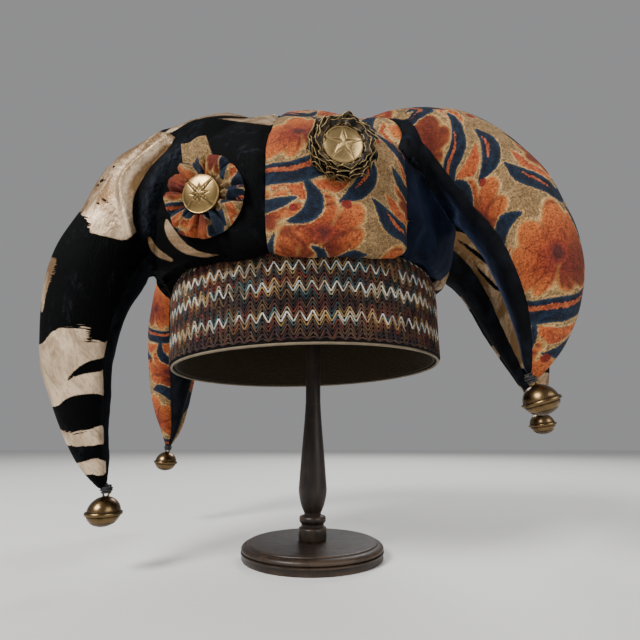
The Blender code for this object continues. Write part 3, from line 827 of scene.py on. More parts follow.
def lay_zebra(panel, used, side, marks, strokes, ragged, crown_marks=()):
    u, v, degrees = (values[used] for values in cloth_place[side])
    azimuth = crown_azimuth[used] * CROWN_DEGREE
    rise, up = crown_rise[used], crown_travel[used] * 1000
    mark = np.full(len(used), OFF_MARKS)
    x, y = seen[used].T
    hidden = np.where(near_side[used], 0, HIDDEN_SIDE)
    for shape in marks:
        patch = patch_distance(u, v, closed_curve(on_cloth(side, shape), 4))
        if shape is LEFT_MARKS[0]:
            beyond = patch_distance(x, y, closed_curve(FIRST_PATCH_SIDE, 3)) / PIXELS_PER_MM
            patch = np.where(near_side[used], np.maximum(patch, beyond), patch)
        mark = np.minimum(mark, patch)
    for stroke in strokes:
        mark = np.maximum(mark, -stroke_distance(u, v, on_cloth(side, stroke)))
    for shape in crown_marks:
        line = closed_curve([(a * CROWN_DEGREE, t) for a, t in shape], 4)
        covered = rise > np.where(up > CROWN_MARK_LEVEL, *CROWN_MARK_RISE)
        mark = np.minimum(mark, patch_distance(azimuth, up, line) + np.where(covered, OFF_MARKS, 0))
    if side == "front_left":
        strip = patch_distance(x, y, closed_curve(STRIP_LINE, 4))
        for stroke in STRIP_STREAKS:
            strip = np.maximum(strip, -stroke_distance(x, y, stroke))
        mark = np.minimum(mark, strip / PIXELS_PER_MM)
        for shape in CRESCENTS:
            crescent = patch_distance(x, y, closed_curve(shape, 4)) + hidden
            mark = np.minimum(mark, crescent / PIXELS_PER_MM)
    broken = np.zeros(len(used))
    for across, along in on_cloth(side, ragged):
        spread = ((u - across) / BRUSH_WIDTH) ** 2 + ((v - along) / BRUSH_LENGTH) ** 2
        broken = np.maximum(broken, np.exp(-spread))
    # Painted light and shade in the cream's tone. The back right horn's cream stays dark, as painted shade.
    # On the front left horn the tone swings with the angle round the horn and grows further along it and in
    # a band across it. Each zebra fold adds a painted highlight on its crest and painted shade in its
    # valley, and the lit fold carries a painted highlight on the black pile.
    light = np.full(len(used), 0.05)
    lit = np.zeros(len(used))
    if side == "front_left":
        light = 0.10 + 0.22 * np.sin(np.radians(degrees - 30)) + 0.60 * np.clip((v - 150) / 40, 0, 1)
        light += 0.40 * np.exp(-(((v - 127) / 9) ** 2))
        lit = np.exp(-(((fold_distance(x, y, LIT_FOLD) + hidden) / PAINTED_HIGHLIGHT_WIDTH) ** 2))
        for stand, width, line in ZEBRA_FOLDS:
            light += FOLD_PAINTED_LIGHT * stand * np.exp(-(((fold_distance(x, y, line) + hidden) / width) ** 2))
    add_attribute(panel, "cloth", np.column_stack([u, v, np.zeros(len(u))]))
    add_attribute(panel, "mark", mark)
    add_attribute(panel, "ragged", broken)
    add_attribute(panel, "tone_and_painted_light", light)
    add_attribute(panel, "lit", lit)


panel, used = make_panel("horn_front_left")
lay_zebra(panel, used, "front_left", LEFT_MARKS, LEFT_STROKES, LEFT_RAGGED, CROWN_MARKS)
finish_panel(panel, zebra, "horn_front_left")

RIGHT_MARKS = [
    [(62, -158), (62, -122), (80, -118), (100, -112), (118, -100), (128, -72), (140, -50), (156, -56),
     (166, -84), (186, -88), (204, -70), (216, -96), (222, -158), (170, -160), (110, -160)],
    [(66, -40), (80, -60), (104, -52), (112, -20), (120, 10), (112, 30), (98, 8), (88, -14), (74, -20)],
    [(150, -20), (162, -28), (176, -10), (184, 20), (176, 52), (166, 30), (158, 4)],
    [(120, 60), (134, 44), (148, 66), (158, 100), (156, 152), (144, 152), (140, 104), (130, 84)],
    [(76, 62), (92, 56), (104, 84), (108, 152), (94, 152), (90, 104)],
    [(196, 10), (208, -14), (216, 20), (216, 90), (208, 152), (198, 152), (202, 80)],
    [(230, -158), (232, -40), (240, 20), (236, 120), (244, 158), (247, 20), (242, -158)],
]
RIGHT_STROKES = [
    [(88, -126, 0.3), (104, -126, 1.2), (122, -124, 1.4), (138, -118, 1.0), (150, -112, 0.3)],
    [(118, -136, 0.2), (132, -138, 1.0), (150, -132, 1.3), (158, -124, 0.3)],
    [(176, -120, 0.2), (180, -112, 0.9), (183, -98, 0.3)],
]
RIGHT_RAGGED = [(128, -72), (166, -84), (216, -96), (112, 20), (176, 45), (134, 50), (104, 84), (208, -10)]
panel, used = make_panel("horn_back_right")
lay_zebra(panel, used, "back_right", RIGHT_MARKS, RIGHT_STROKES, RIGHT_RAGGED)
finish_panel(panel, zebra, "horn_back_right")


# Plain velvet. Black gussets run up the inner side of the horns, and navy panels close the crown's right
# and back. The pile is crushed in soft clouds, and on them the colour is painted lighter and bluer as a
# painted sheen.
def velvet(name, deep, lit, sheen, sheen_tint):
    material, shader = start_material(name, sheen=sheen, sheen_tint=sheen_tint, specular=0.05)
    place = object_place(shader)
    crushed = grain(stretched(place, (1, 1, 0.55)), 85, 4, 0.6, 0.8)
    cloud = grain(place, 26, 3)
    pile = grain(place, 2600, 2)
    # Painted sheen: the crushed patches take the lighter colour, as if they caught the light, on the navy
    # and on the black beside the tapestry.
    painted_sheen_share = times(between(crushed, 0.42, 0.74), between(cloud, 0.3, 0.7, 0.25, 1.0))
    cloth_colour = mixed(painted_sheen_share, deep, lit)
    if name == "navy_velvet":
        black_pile = mixed(painted_sheen_share, (0.0013, 0.0014, 0.0019), (0.008, 0.010, 0.015))
        cloth_colour = mixed(between(field(shader, "gusset"), -0.5, 0.5), black_pile, cloth_colour)
    feed(shader, "Base Color", cloth_colour)
    feed(shader, "Roughness", between(crushed, 0.3, 0.8, 0.55, 0.8))
    bump(shader, layered((crushed, 1.5), (pile, 0.2)), 0.0007)
    return material


GUSSET_WIDTH = 15.0  # black beside the tapestry horn, in millimetres
GUSSET_RISE = 22.0
horn_label = label_names.index("horn_front_right")
on_edge = np.unique(triangles[label_number == horn_label])
tapestry_edge = points[on_edge[on_seam[on_edge]]]
# Each velvet's second colour is its painted sheen.
black_velvet = velvet("black_velvet", (0.0015, 0.0016, 0.0021), (0.012, 0.015, 0.022), 0.02, (0.6, 0.7, 1.0))
navy_velvet = velvet("navy_velvet", (0.0020, 0.0032, 0.0090), (0.013, 0.021, 0.042), 0.09, (0.35, 0.50, 1.0))
for name, material, slot in (
    ("horn_front_left_under", black_velvet, "black_velvet"),
    ("horn_back_left_under", black_velvet, "black_velvet"),
    ("horn_back_right_under", black_velvet, "black_velvet"),
    ("crown_right", navy_velvet, "navy_velvet"),
    ("crown_back", navy_velvet, "navy_velvet"),
):
    panel, used = make_panel(name)
    beside_tapestry = distance_to(tapestry_edge, points[used]) * 1000
    gusset = np.minimum(beside_tapestry - GUSSET_WIDTH, GUSSET_RISE - crown_rise[used] * 1000)
    add_attribute(panel, "gusset", gusset)
    finish_panel(panel, material, name)


# Floral tapestry. Lotus blooms and scrolling leaves are woven in rust, orange and navy yarn on a sand
# ground, one repeat of the cloth carrying them all. It makes the crown's front and two of the horns.
REPEAT_WIDTH = 86.0
REPEAT_HEIGHT = 104.0
BLOOMS = [  # foot of the petals, then each petal: direction in degrees, length, half width, bend in mm
    ((2, -8), [
        (-98, 23, 6.0, 3), (-66, 28, 7.2, 3), (-34, 30, 7.8, 2), (0, 32, 8.2, 0), (33, 30, 7.8, -2),
        (66, 28, 7.0, -3), (98, 24, 5.8, -3), (150, 15, 5.0, 1), (205, 15, 5.0, -1),
    ]),
    ((-39, 32), [
        (12, 27, 6.8, 2), (-24, 25, 6.6, 3), (48, 25, 6.8, -2), (86, 20, 5.8, -3), (-62, 21, 5.6, 3),
        (180, 12, 4.6, 0), (130, 15, 5.0, 0),
    ]),
    ((30, 22), [(8, 20, 5.4, 2), (-28, 16, 4.6, 2), (44, 16, 4.8, -2)]),
    ((-24, -52), [
        (0, 17, 5.2, 0), (-45, 16, 4.8, 2), (45, 16, 4.8, -2), (92, 13, 4.4, -2), (-92, 13, 4.4, 2),
        (150, 11, 4.2, 0), (210, 11, 4.2, 0),
    ]),
]
HEARTS = [(2, -3, 5.6), (-39, 36, 4.6), (30, 24, 2.4), (-24, -50, 3.4)]
ORANGE_LEAVES = [  # strokes: place and half width in mm
    [(-34, -20, 0.5), (-24, -35, 3.8), (-6, -43, 4.8), (14, -42, 4.2), (28, -32, 0.6)],
    [(-24, 8, 0.5), (-29, -4, 3.4), (-33, -14, 0.5)],
    [(24, -18, 0.5), (33, -12, 3.8), (39, 0, 3.2), (38, 12, 0.5)],
    [(12, 38, 0.5), (3, 46, 3.8), (-2, 57, 0.5)],
]
LEAVES = [
    [(-38, -2, 0.6), (-31, -17, 4.6), (-18, -28, 6.4), (0, -32, 6.6), (17, -27, 5.4), (29, -17, 3.6),
     (36, -4, 0.4)],
    [(-14, 22, 0.5), (-25, 21, 4.6), (-33, 12, 5.0), (-36, 0, 0.6)],
    [(14, 24, 0.5), (22, 12, 4.4), (34, 6, 5.2), (44, 12, 4.4), (46, 24, 3.2), (40, 30, 0.5)],
    [(24, 40, 0.6), (14, 28, 4.4), (5, 33, 5.4), (-5, 41, 5.2), (-11, 53, 0.6)],
    [(31, 44, 0.5), (42, 47, 4.2), (47, 57, 4.4), (43, 68, 0.5)],
    [(-6, -46, 0.5), (-18, -48, 4.2), (-30, -42, 4.4), (-37, -30, 0.5)],
    [(14, -52, 0.5), (25, -47, 4.8), (34, -36, 4.6), (36, -24, 0.5)],
    [(-52, 16, 0.5), (-46, 8, 3.4), (-47, -4, 0.5)],
]
LEAF_VEINS = [
    [(-33, -10, 0.2), (-18, -25, 1.1), (0, -30, 1.5), (17, -25, 0.9), (28, -15, 0.2)],
    [(8, 31, 0.2), (1, 37, 1.1), (-6, 46, 0.2)],
    [(24, 11, 0.2), (34, 8, 1.0), (42, 15, 0.7), (42, 22, 0.1)],
    [(24, -45, 0.2), (32, -37, 0.9), (34, -29, 0.1)],
]
SMALL_RED = [(-26, 50, 2.6), (18, -8, 0.1), (-8, -52, 2.4), (44, -14, 2.6)]


def repeat_of_cloth(u, v, centre):
    """Place on the cloth, measured from the nearest repeat of a motif, each row half a repeat along."""
    row = np.round((v - centre[1]) / REPEAT_HEIGHT)
    up = v - centre[1] - row * REPEAT_HEIGHT
    along = u - centre[0] - row * REPEAT_WIDTH / 2
    along -= np.round(along / REPEAT_WIDTH) * REPEAT_WIDTH
    return along, up


def repeated_strokes(a, b, strokes):
    nearest = np.full(len(a), OFF_MARKS)
    for rows in strokes:
        rows = np.array(rows, float)
        middle = (rows.max(0) + rows.min(0)) / 2
        x, y = repeat_of_cloth(a, b, middle)
        nearest = np.minimum(nearest, stroke_distance(x, y, rows - [middle[0], middle[1], 0], 14))
    return nearest


DRIFT_ASIDE = [Vector((9.3, 1.5, 7.9)), Vector((0.4, 0.6, 0.2)), Vector((6.3, 3.2, 2.7))]


def drift_at(spot):
    """Three numbers that wander smoothly from place to place, the same in every run."""
    return [noise.noise(spot + aside) for aside in DRIFT_ASIDE]


WANDER = 2.6
PETAL = ((0.10, 0.35), (0.4, 0.8), (0.68, 1.0), (0.86, 0.66), (0.98, 0.08))  # share of length, of half width


def weave_motifs(obj, u, v, turn, shift, scale):
    """Store how far each point lies from petals, hearts and leaves, in mm, inside negative."""
    turn = math.radians(turn)
    a = (u * math.cos(turn) + v * math.sin(turn)) * scale + shift[0]
    b = (v * math.cos(turn) - u * math.sin(turn)) * scale + shift[1]
    wander = np.array([drift_at(Vector((x * 0.05, y * 0.05, 2.0))) for x, y in zip(a, b)])
    a = a + WANDER * wander[:, 0]
    b = b + WANDER * wander[:, 1]
    bloom = np.full(len(u), OFF_MARKS)
    parting = np.full(len(u), OFF_MARKS)
    reach = np.zeros(len(u))
    for foot, petals in BLOOMS:
        x, y = repeat_of_cloth(a, b, foot)
        for direction, length, width, bend in petals:
            way = math.radians(90 - direction)
            along = np.array([math.cos(way), math.sin(way)])
            aside = np.array([-along[1], along[0]])
            rows = []
            for share, wide in PETAL:
                spot = along * length * share + aside * bend * math.sin(math.pi * share)
                rows.append((*spot, width * wide))
            away = stroke_distance(x, y, rows, 9)
            parting = np.minimum(parting, np.abs(bloom - away))
            reach = np.where(away < bloom, np.hypot(x, y) / length, reach)
            bloom = np.minimum(bloom, away)
    heart = np.full(len(u), OFF_MARKS)
    for cu, cv, radius in HEARTS:
        x, y = repeat_of_cloth(a, b, (cu, cv))
        lobes = 1 + 0.12 * np.cos(7 * np.arctan2(y, x)) + 0.10 * np.cos(3 * np.arctan2(y, x))
        heart = np.minimum(heart, np.hypot(x, y) - radius * lobes)
    red = np.full(len(u), OFF_MARKS)
    for cu, cv, radius in SMALL_RED:
        x, y = repeat_of_cloth(a, b, (cu, cv))
        red = np.minimum(red, np.hypot(x, y) - radius)
    add_attribute(obj, "cloth", np.column_stack([a, b, np.zeros(len(u))]))
    add_attribute(obj, "bloom", bloom)
    add_attribute(obj, "heart", heart)
    add_attribute(obj, "parting", np.minimum(parting, 6))
    add_attribute(obj, "reach", reach)
    add_attribute(obj, "leaf", repeated_strokes(a, b, LEAVES))
    add_attribute(obj, "vein", repeated_strokes(a, b, LEAF_VEINS))
    add_attribute(obj, "rust", repeated_strokes(a, b, ORANGE_LEAVES))
    add_attribute(obj, "red", red)


tapestry, shader = start_material("floral_tapestry", roughness=0.8, sheen=0.03, specular=0.16)
cloth = field(shader, "cloth", "Vector")
THREAD = 1.35  # threads to a millimetre
WOVEN_EDGE = 0.12
threads = stretched(cloth, (THREAD, THREAD, 1))
cell = node(shader, "VectorMath", {0: threads, 1: (1, 1, 1)}, operation="SNAP")
thread_value = node(shader, "TexWhiteNoise", {0: cell.outputs[0]}, noise_dimensions="2D").outputs["Value"]
jitter = swing(thread_value, 0.8)
cloudy = streaks(cloth, 0.07, 0.07, 4, 0.65)
patchy = streaks(cloth, 0.22, 0.22, 3, 0.6)
warp_slub = streaks(cloth, 2.6, 0.16, 2)
weft_slub = streaks(cloth, 0.16, 2.6, 2)
slub = layered((warp_slub, 0.5), (weft_slub, 0.5))
bloom, leaf, rust_leaf, red, vein, heart, parting = (
    plus(field(shader, name), times(jitter, rough))
    for name, rough in (
        ("bloom", 1), ("leaf", 1), ("rust", 1), ("red", 1), ("vein", 1), ("heart", 1.6), ("parting", 0.8),
    )
)
reach = plus(field(shader, "reach"), swing(patchy, 0.9))
sand = mixed(between(cloudy, 0.3, 0.7), (0.20, 0.115, 0.045), (0.36, 0.23, 0.105))
sand = mixed(between(patchy, 0.5, 0.72, 0.0, 0.8), sand, (0.18, 0.125, 0.062))
orange = mixed(between(reach, 0.25, 0.95), (0.23, 0.036, 0.013), (0.50, 0.135, 0.034))
orange = mixed(between(patchy, 0.52, 0.74, 0.0, 0.7), orange, (0.36, 0.055, 0.020))
orange = mixed(between(parting, 1.5, 0.3, 0.0, 0.85), orange, (0.11, 0.016, 0.010))
orange = mixed(times(between(bloom, -1.6, -0.5), 0.55), orange, (0.52, 0.23, 0.065))
rust = mixed(between(patchy, 0.35, 0.65), (0.30, 0.055, 0.020), (0.50, 0.125, 0.034))
core = mixed(between(heart, -3.4, -0.2), (0.075, 0.016, 0.014), (0.25, 0.036, 0.018))
navy = mixed(between(patchy, 0.40, 0.66), (0.004, 0.007, 0.016), (0.009, 0.022, 0.048))
navy = mixed(times(between(leaf, -1.6, -0.5), 0.5), navy, (0.022, 0.048, 0.082))
pale = mixed(between(cloudy, 0.35, 0.65), (0.38, 0.22, 0.075), (0.54, 0.36, 0.16))
colour = sand
for motif, outline, yarn, cover in (
    (rust_leaf, (1.0, 0.7), rust, 1.0),
    (bloom, (1.5, 1.1), orange, 1.0),
    (heart, None, core, 1.0),
    (leaf, (0.95, 0.65, 0.0, 0.75), navy, 1.0),
    (vein, None, rust, 0.85),
    (red, None, (0.21, 0.022, 0.013), 1.0),
):
    if outline:
        colour = mixed(between(motif, *outline), colour, pale)
    colour = mixed(between(motif, WOVEN_EDGE, -WOVEN_EDGE, 0.0, cover), colour, yarn)
gap = mixed(1.0, colour, (0.30, 0.27, 0.25), "MULTIPLY")
lit = mixed(1.0, colour, (1.45, 1.40, 1.32), "MULTIPLY")
colour = mixed(between(slub, 0.48, 0.62, 0.0, 0.80), colour, gap)
colour = mixed(between(thread_value, 0.58, 1.0, 0.0, 0.7), colour, gap)
colour = mixed(between(thread_value, 0.35, 0.0, 0.0, 0.8), colour, lit)
feed(shader, "Base Color", colour)
weave = {"Vector": cloth, "Scale": THREAD / 2}
bands, picks = (node(shader, "TexWave", weave, bands_direction=way).outputs[1] for way in "XY")
raised = between(maths("MINIMUM", leaf, bloom), 0.6, -0.6, 0.0, 0.8)
relief = layered((bands, picks), (thread_value, 0.7), (patchy, 1.5), (raised, 1), (slub, -1.2))
bump(shader, relief, 0.00028)

FRONT_MIDDLE = 283.5  # degrees round the hat
panel, used = make_panel("crown_front")
around = (crown_azimuth[used] - FRONT_MIDDLE) * CROWN_DEGREE
weave_motifs(panel, around, crown_travel[used] * 1000, 8, (10, -106), 0.96)
finish_panel(panel, tapestry, "crown_front")
for side, hand, turn, shift, scale in (
    ("front_right", -1, 180, (25, 172), 1.0),
    ("back_left", 1, 176, (40, 150), 1.05),
):
    panel, used = make_panel("horn_" + side)
    weave_motifs(panel, hand * cloth_place[side][0][used], cloth_place[side][1][used], turn, shift, scale)
    finish_panel(panel, tapestry, "horn_" + side)


# Headband. A tube of knitted zigzag cloth, space-dyed in rust, plum, ochre and grey, with a bright row at
# about every sixth. The ground cloth carries the rows of yarn, which stand proud of it.
BAND_OUTSIDE = [  # radius, height above the rim
    (0.0975, 0.0010), (0.0982, 0.0250), (0.0990, 0.0460), (0.0975, 0.0550), (0.0935, 0.0605),
    (0.0885, 0.0625),
]
BAND_WALL = 0.0020
YARN_RADIUS = 0.00040
YARN_PITCH = 0.00245
YARN_WAVE = 0.0033
YARN_PERIODS = 88
BRIGHT_ROWS = (6, 13, 18, 24)
ROW_DYES = [  # the colours that a row runs through, by how many rows it lies from a bright one
    [(0.80, 0.74, 0.60), (0.92, 0.90, 0.84), (0.45, 0.32, 0.16), (0.50, 0.60, 0.60), (0.88, 0.84, 0.74),
     (0.14, 0.09, 0.05)],
    [(0.38, 0.24, 0.09), (0.14, 0.034, 0.020), (0.05, 0.11, 0.12), (0.50, 0.41, 0.27),
     (0.025, 0.016, 0.014)],
    [(0.18, 0.034, 0.018), (0.04, 0.014, 0.014), (0.17, 0.085, 0.028), (0.02, 0.038, 0.042),
     (0.08, 0.022, 0.014)],
    [(0.040, 0.009, 0.010), (0.009, 0.006, 0.006), (0.10, 0.030, 0.014), (0.014, 0.012, 0.020),
     (0.10, 0.055, 0.024)],
]


def lathe(name, profile, steps, material, closed=False, place=HAT_PLACE):
    """A turned piece. Its profile of radius and height runs from pole to pole, or back to its start."""
    turn = full_turn(steps)
    rings = []
    for radius, height in profile:
        ring = np.column_stack([radius * np.cos(turn), radius * np.sin(turn), np.full(steps, height)])
        rings.append(ring @ np.array(place)[:3, :3].T + np.array(place)[:3, 3])
    piece = grid_mesh(name, rings + rings[:1] if closed else rings, closed_ends=not closed)
    mend(piece.data, merge=0.000001)
    piece.data.shade_smooth()
    piece.data.materials.append(material)
    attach(piece, "root")
    return piece


def cloth_ring(outside, wall, steps):
    """Profile of a wall of cloth: up its outer side and down the inner one, with round edges."""
    line = spline(outside, steps)
    slope = np.gradient(line, axis=0)
    slope /= np.linalg.norm(slope, axis=1)[:, None]
    inner = line - np.column_stack([slope[:, 1], -slope[:, 0]]) * wall
    foot = (line[0] + inner[0]) / 2 - slope[0] * wall * 0.4
    head = (line[-1] + inner[-1]) / 2 + slope[-1] * wall * 0.4
    return [tuple(foot)] + [tuple(p) for p in line] + [tuple(head)] + [tuple(p) for p in inner[::-1]]


band_ground, shader = start_material("zigzag_ground", roughness=0.95, specular=0.15)
place = object_place(shader)
loops = grain(place, 900, 2)
feed(shader, "Base Color", mixed(loops, (0.003, 0.0025, 0.0022), (0.010, 0.007, 0.006)))
bump(shader, loops, 0.0005)
GROUND_DEPTH = 0.0007
ground_line = [(radius - GROUND_DEPTH, height) for radius, height in BAND_OUTSIDE]
band = lathe("headband_ground", cloth_ring(ground_line, BAND_WALL, 30), 180, band_ground, closed=True)
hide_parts("headband")

band_line = spline(BAND_OUTSIDE, 200)
band_travel = np.concatenate([[0], np.cumsum(np.hypot(*np.diff(band_line, axis=0).T))])
yarn_points = []
yarn_faces = []
yarn_dye = []
yarn_run = []
CORNER = 0.035  # share of a wave that a turn of the yarn takes up
TURN_LEVEL = 0.86
SIDES = 5
ROW_START = -0.0008
row_count = int((band_travel[-1] - ROW_START) / YARN_PITCH)
for row in range(row_count):
    phase = []
    level = []
    for k in range(YARN_PERIODS):
        for at, value in (
            (-CORNER, TURN_LEVEL), (CORNER, TURN_LEVEL),
            (0.5 - CORNER, -TURN_LEVEL), (0.5 + CORNER, -TURN_LEVEL),
        ):
            wobble = 0.10 * noise.noise(Vector((k * 0.9, row * 1.7, at * 3)))
            phase.append(2 * math.pi * (k + at + wobble * 0.15) / YARN_PERIODS)
            level.append(value + wobble)
    phase = np.array(phase)
    up = ROW_START + row * YARN_PITCH + YARN_WAVE * np.array(level)
    up = np.clip(up, 0.0008, band_travel[-1] - 0.0006)
    radius = np.interp(up, band_travel, band_line[:, 0])
    height = np.interp(up, band_travel, band_line[:, 1])
    slope_r = np.interp(up, band_travel, np.gradient(band_line[:, 0], band_travel))
    slope_h = np.interp(up, band_travel, np.gradient(band_line[:, 1], band_travel))
    centre = np.column_stack([radius * np.cos(phase), radius * np.sin(phase), height])
    outward = np.column_stack([slope_h * np.cos(phase), slope_h * np.sin(phase), -slope_r])
    ahead = np.roll(centre, -1, axis=0) - np.roll(centre, 1, axis=0)
    ahead /= np.linalg.norm(ahead, axis=1)[:, None]
    aside = np.cross(ahead, outward)
    aside /= np.linalg.norm(aside, axis=1)[:, None]
    count = len(phase)
    first = sum(len(ring) for ring in yarn_points)
    ring = []
    for side in range(SIDES):
        turn = 2 * math.pi * side / SIDES + 0.3
        ring.append(centre + YARN_RADIUS * (outward * math.cos(turn) + aside * math.sin(turn) * 1.1))
    yarn_points.append(to_world(np.stack(ring, axis=1).reshape(-1, 3)))
    start = np.arange(count)
    following = (start + 1) % count
    for side in range(SIDES):
        beside = (side + 1) % SIDES
        low, high = start * SIDES, following * SIDES
        quads = [low + side, low + beside, high + beside, high + side]
        yarn_faces.append(np.stack(quads, axis=1) + first)
    rows_off = min(abs(row - bright) for bright in BRIGHT_ROWS)
    colours = np.array(ROW_DYES[min(rows_off, 3)])
    for angle in phase:
        spot = Vector((math.cos(angle) * 6, math.sin(angle) * 6, row * 1.9))
        choice = (noise.noise(spot) * 5.0 + row * 1.6 + noise.noise(spot * 6) * 1.4) % len(colours)
        low = int(choice)
        share = min(1.0, max(0.0, (choice - low - 0.4) / 0.2))
        dye = colours[low] * (1 - share) + colours[(low + 1) % len(colours)] * share
        yarn_dye.extend([dye] * SIDES)
    run = np.cumsum(np.linalg.norm(np.roll(centre, -1, axis=0) - centre, axis=1)) * 1000
    yarn_run.append(np.stack([np.repeat(run, SIDES), np.tile(np.arange(SIDES) / SIDES, count)], axis=1))
yarn_mesh = bpy.data.meshes.new("headband_yarn")
yarn_mesh.from_pydata(np.vstack(yarn_points).tolist(), [], np.vstack(yarn_faces).tolist())
yarn = bpy.data.objects.new("headband_yarn", yarn_mesh)
bpy.context.scene.collection.objects.link(yarn)
mend(yarn_mesh)
yarn_mesh.shade_smooth()
add_attribute(yarn, "dye", np.array(yarn_dye))
yarn_run = np.vstack(yarn_run)
add_attribute(yarn, "run", np.column_stack([yarn_run, np.zeros(len(yarn_run))]))
spun, shader = start_material("zigzag_yarn", roughness=0.85, sheen=0.08, specular=0.25)
dye = field(shader, "dye", "Vector")
run = field(shader, "run", "Vector")
place = object_place(shader)
fleck = grain(place, 2200, 2)
streaky = streaks(run, 0.9, 2.0, 2)
shade = mixed(between(fleck, 0.35, 0.65, 0.0, 1.0), (0.45, 0.42, 0.40), (1.25, 1.22, 1.18))
coloured = mixed(1.0, dye, shade, "MULTIPLY")
coloured = mixed(between(streaky, 0.58, 0.72, 0.0, 0.6), coloured, (0.03, 0.022, 0.02))
feed(shader, "Base Color", coloured)
wound = stretched(run, (0.5, 1.0, 1))
twist = node(shader, "TexWave", {"Vector": wound, "Scale": 1.0}, bands_direction="DIAGONAL")
bump(shader, plus(twist.outputs[1], fleck), 0.00025)
yarn_mesh.materials.append(spun)
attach(yarn, "root")
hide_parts("headband")


# Linings. A dark cloth with fine level ribs backs the headband, and the same dark cloth closes the crown
# inside, where it shows only from below. Both are sewn to the headband's upper edge.
RIB_PITCH = 0.0013
RIB_RISE = 0.00016
LINING_WALL = 0.0013
LINING_DEPTH = 0.0033
LINING_TOP = 0.0500
ribbed = []
for up in np.arange(0.0012, LINING_TOP, RIB_PITCH / 6):
    base = np.interp(up, [p[1] for p in BAND_OUTSIDE], [p[0] for p in BAND_OUTSIDE]) - LINING_DEPTH
    ribbed.append((base - LINING_WALL - RIB_RISE * math.cos(2 * math.pi * up / RIB_PITCH), up))
outer_line = [(p[0] - LINING_DEPTH, p[1]) for p in spline(BAND_OUTSIDE[:4], 12) if p[1] < LINING_TOP]
lining_cloth, shader = start_material("lining_cloth", roughness=0.9, specular=0.2)
place = object_place(shader)
slub = grain(stretched(place, (1, 1, 3.5)), 320, 3)
feed(shader, "Base Color", mixed(slub, (0.010, 0.0070, 0.0036), (0.046, 0.033, 0.018)))
bump(shader, slub, 0.0003)
lining = lathe("band_lining_cloth", outer_line + ribbed[::-1], 180, lining_cloth, closed=True)
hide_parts("band_lining")

INSIDE_GAP = 0.0029
INSIDE_WALL = 0.0008
POLE = 0.0001  # radius at which a turned profile starts and ends
INSIDE_FOOT = [(0.0865, 0.0600), (0.0880, 0.0640), (0.1000, 0.0690)]
inside_line = np.vstack([INSIDE_FOOT, spline(CROWN_PROFILE[6:], 40)[2:, :2]])
slope = np.gradient(inside_line, axis=0)
slope /= np.linalg.norm(slope, axis=1)[:, None]
inward = np.column_stack([-slope[:, 1], slope[:, 0]])
outer_face, inner_face = (inside_line + inward * depth for depth in (INSIDE_GAP, INSIDE_GAP + INSIDE_WALL))
for face in (outer_face, inner_face):
    face[:, 0] = np.maximum(face[:, 0], 0.0005)
inside_profile = [(POLE, outer_face[-1][1])] + outer_face[::-1].tolist() + inner_face.tolist()
inside_profile.append((POLE, inner_face[-1][1]))
inside = lathe("crown_inside", inside_profile, 120, lining_cloth)


# Piping. A thin cord in a strip of tan cloth, sewn into the hem all the way round, so that it shows as a
# pale line under the headband.
PIPING_RADIUS = 0.0008
PIPING_PLACE = (BAND_OUTSIDE[0][0] - 0.0015, BAND_OUTSIDE[0][1] - 0.0003 - PIPING_RADIUS)
piping_cloth, shader = start_material("piping_cloth", roughness=0.85, sheen=0.1)
place = object_place(shader)
soft_patch = grain(place, 160, 3)
ply = grain(place, 1500, 2)
feed(shader, "Base Color", mixed(soft_patch, (0.075, 0.054, 0.032), (0.21, 0.16, 0.098)))
bump(shader, ply, 0.0003)
round_line = [
    (PIPING_PLACE[0] + PIPING_RADIUS * math.cos(a), PIPING_PLACE[1] + PIPING_RADIUS * math.sin(a))
    for a in full_turn(10)
]
piping = lathe("rim_piping_cord", round_line, 240, piping_cloth, closed=True)
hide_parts("rim_piping")


# Tapestry rosette. A circle of the floral cloth is gathered on a thread round its middle, so that it stands
# in twelve puffed folds, with a square tab of the same cloth behind its top.
SEAT_PIXELS = 5
SEAT_SHARE = 0.8


def seat_on_cloth(pixel, radius, lean):
    """Where a flat-backed piece lies on the cloth at a place in the picture, and its directions. The folds
    beneath prop it towards the viewer."""
    off = np.hypot(*(seen - pixel).T)
    centre = points[near_side & (off < SEAT_PIXELS)].mean(0)
    around = near_side & (np.linalg.norm(points - centre, axis=1) < radius * SEAT_SHARE)
    outward = Vector(normals[around].mean(0)).normalized()
    viewer = (Vector(CAMERA_PLACE) - Vector(centre)).normalized()
    outward = (outward + lean * viewer).normalized()
    turn = np.array(outward.to_track_quat("Z", "Y").to_matrix())
    levels = (points[around] - centre) @ turn[:, 2]
    return centre + turn[:, 2] * np.quantile(levels, SEAT_SHARE), turn


def set_in(obj, seat):
    middle, turn = seat
    write_points(obj, read_points(obj) @ turn.T + middle)


ROSETTE_RADIUS = 0.0240
ROSETTE_DEPTH = 0.0068
ROSETTE_PIXEL = (207, 199)
ROSETTE_LEAN = 0.35
GATHERS = 12
ROSETTE_STEPS = 216


def wander_round(turn, spread, level):
    """A number that wanders smoothly round a ring and meets itself."""
    return np.array([noise.noise(Vector((math.cos(a) * spread, math.sin(a) * spread, level))) for a in turn])


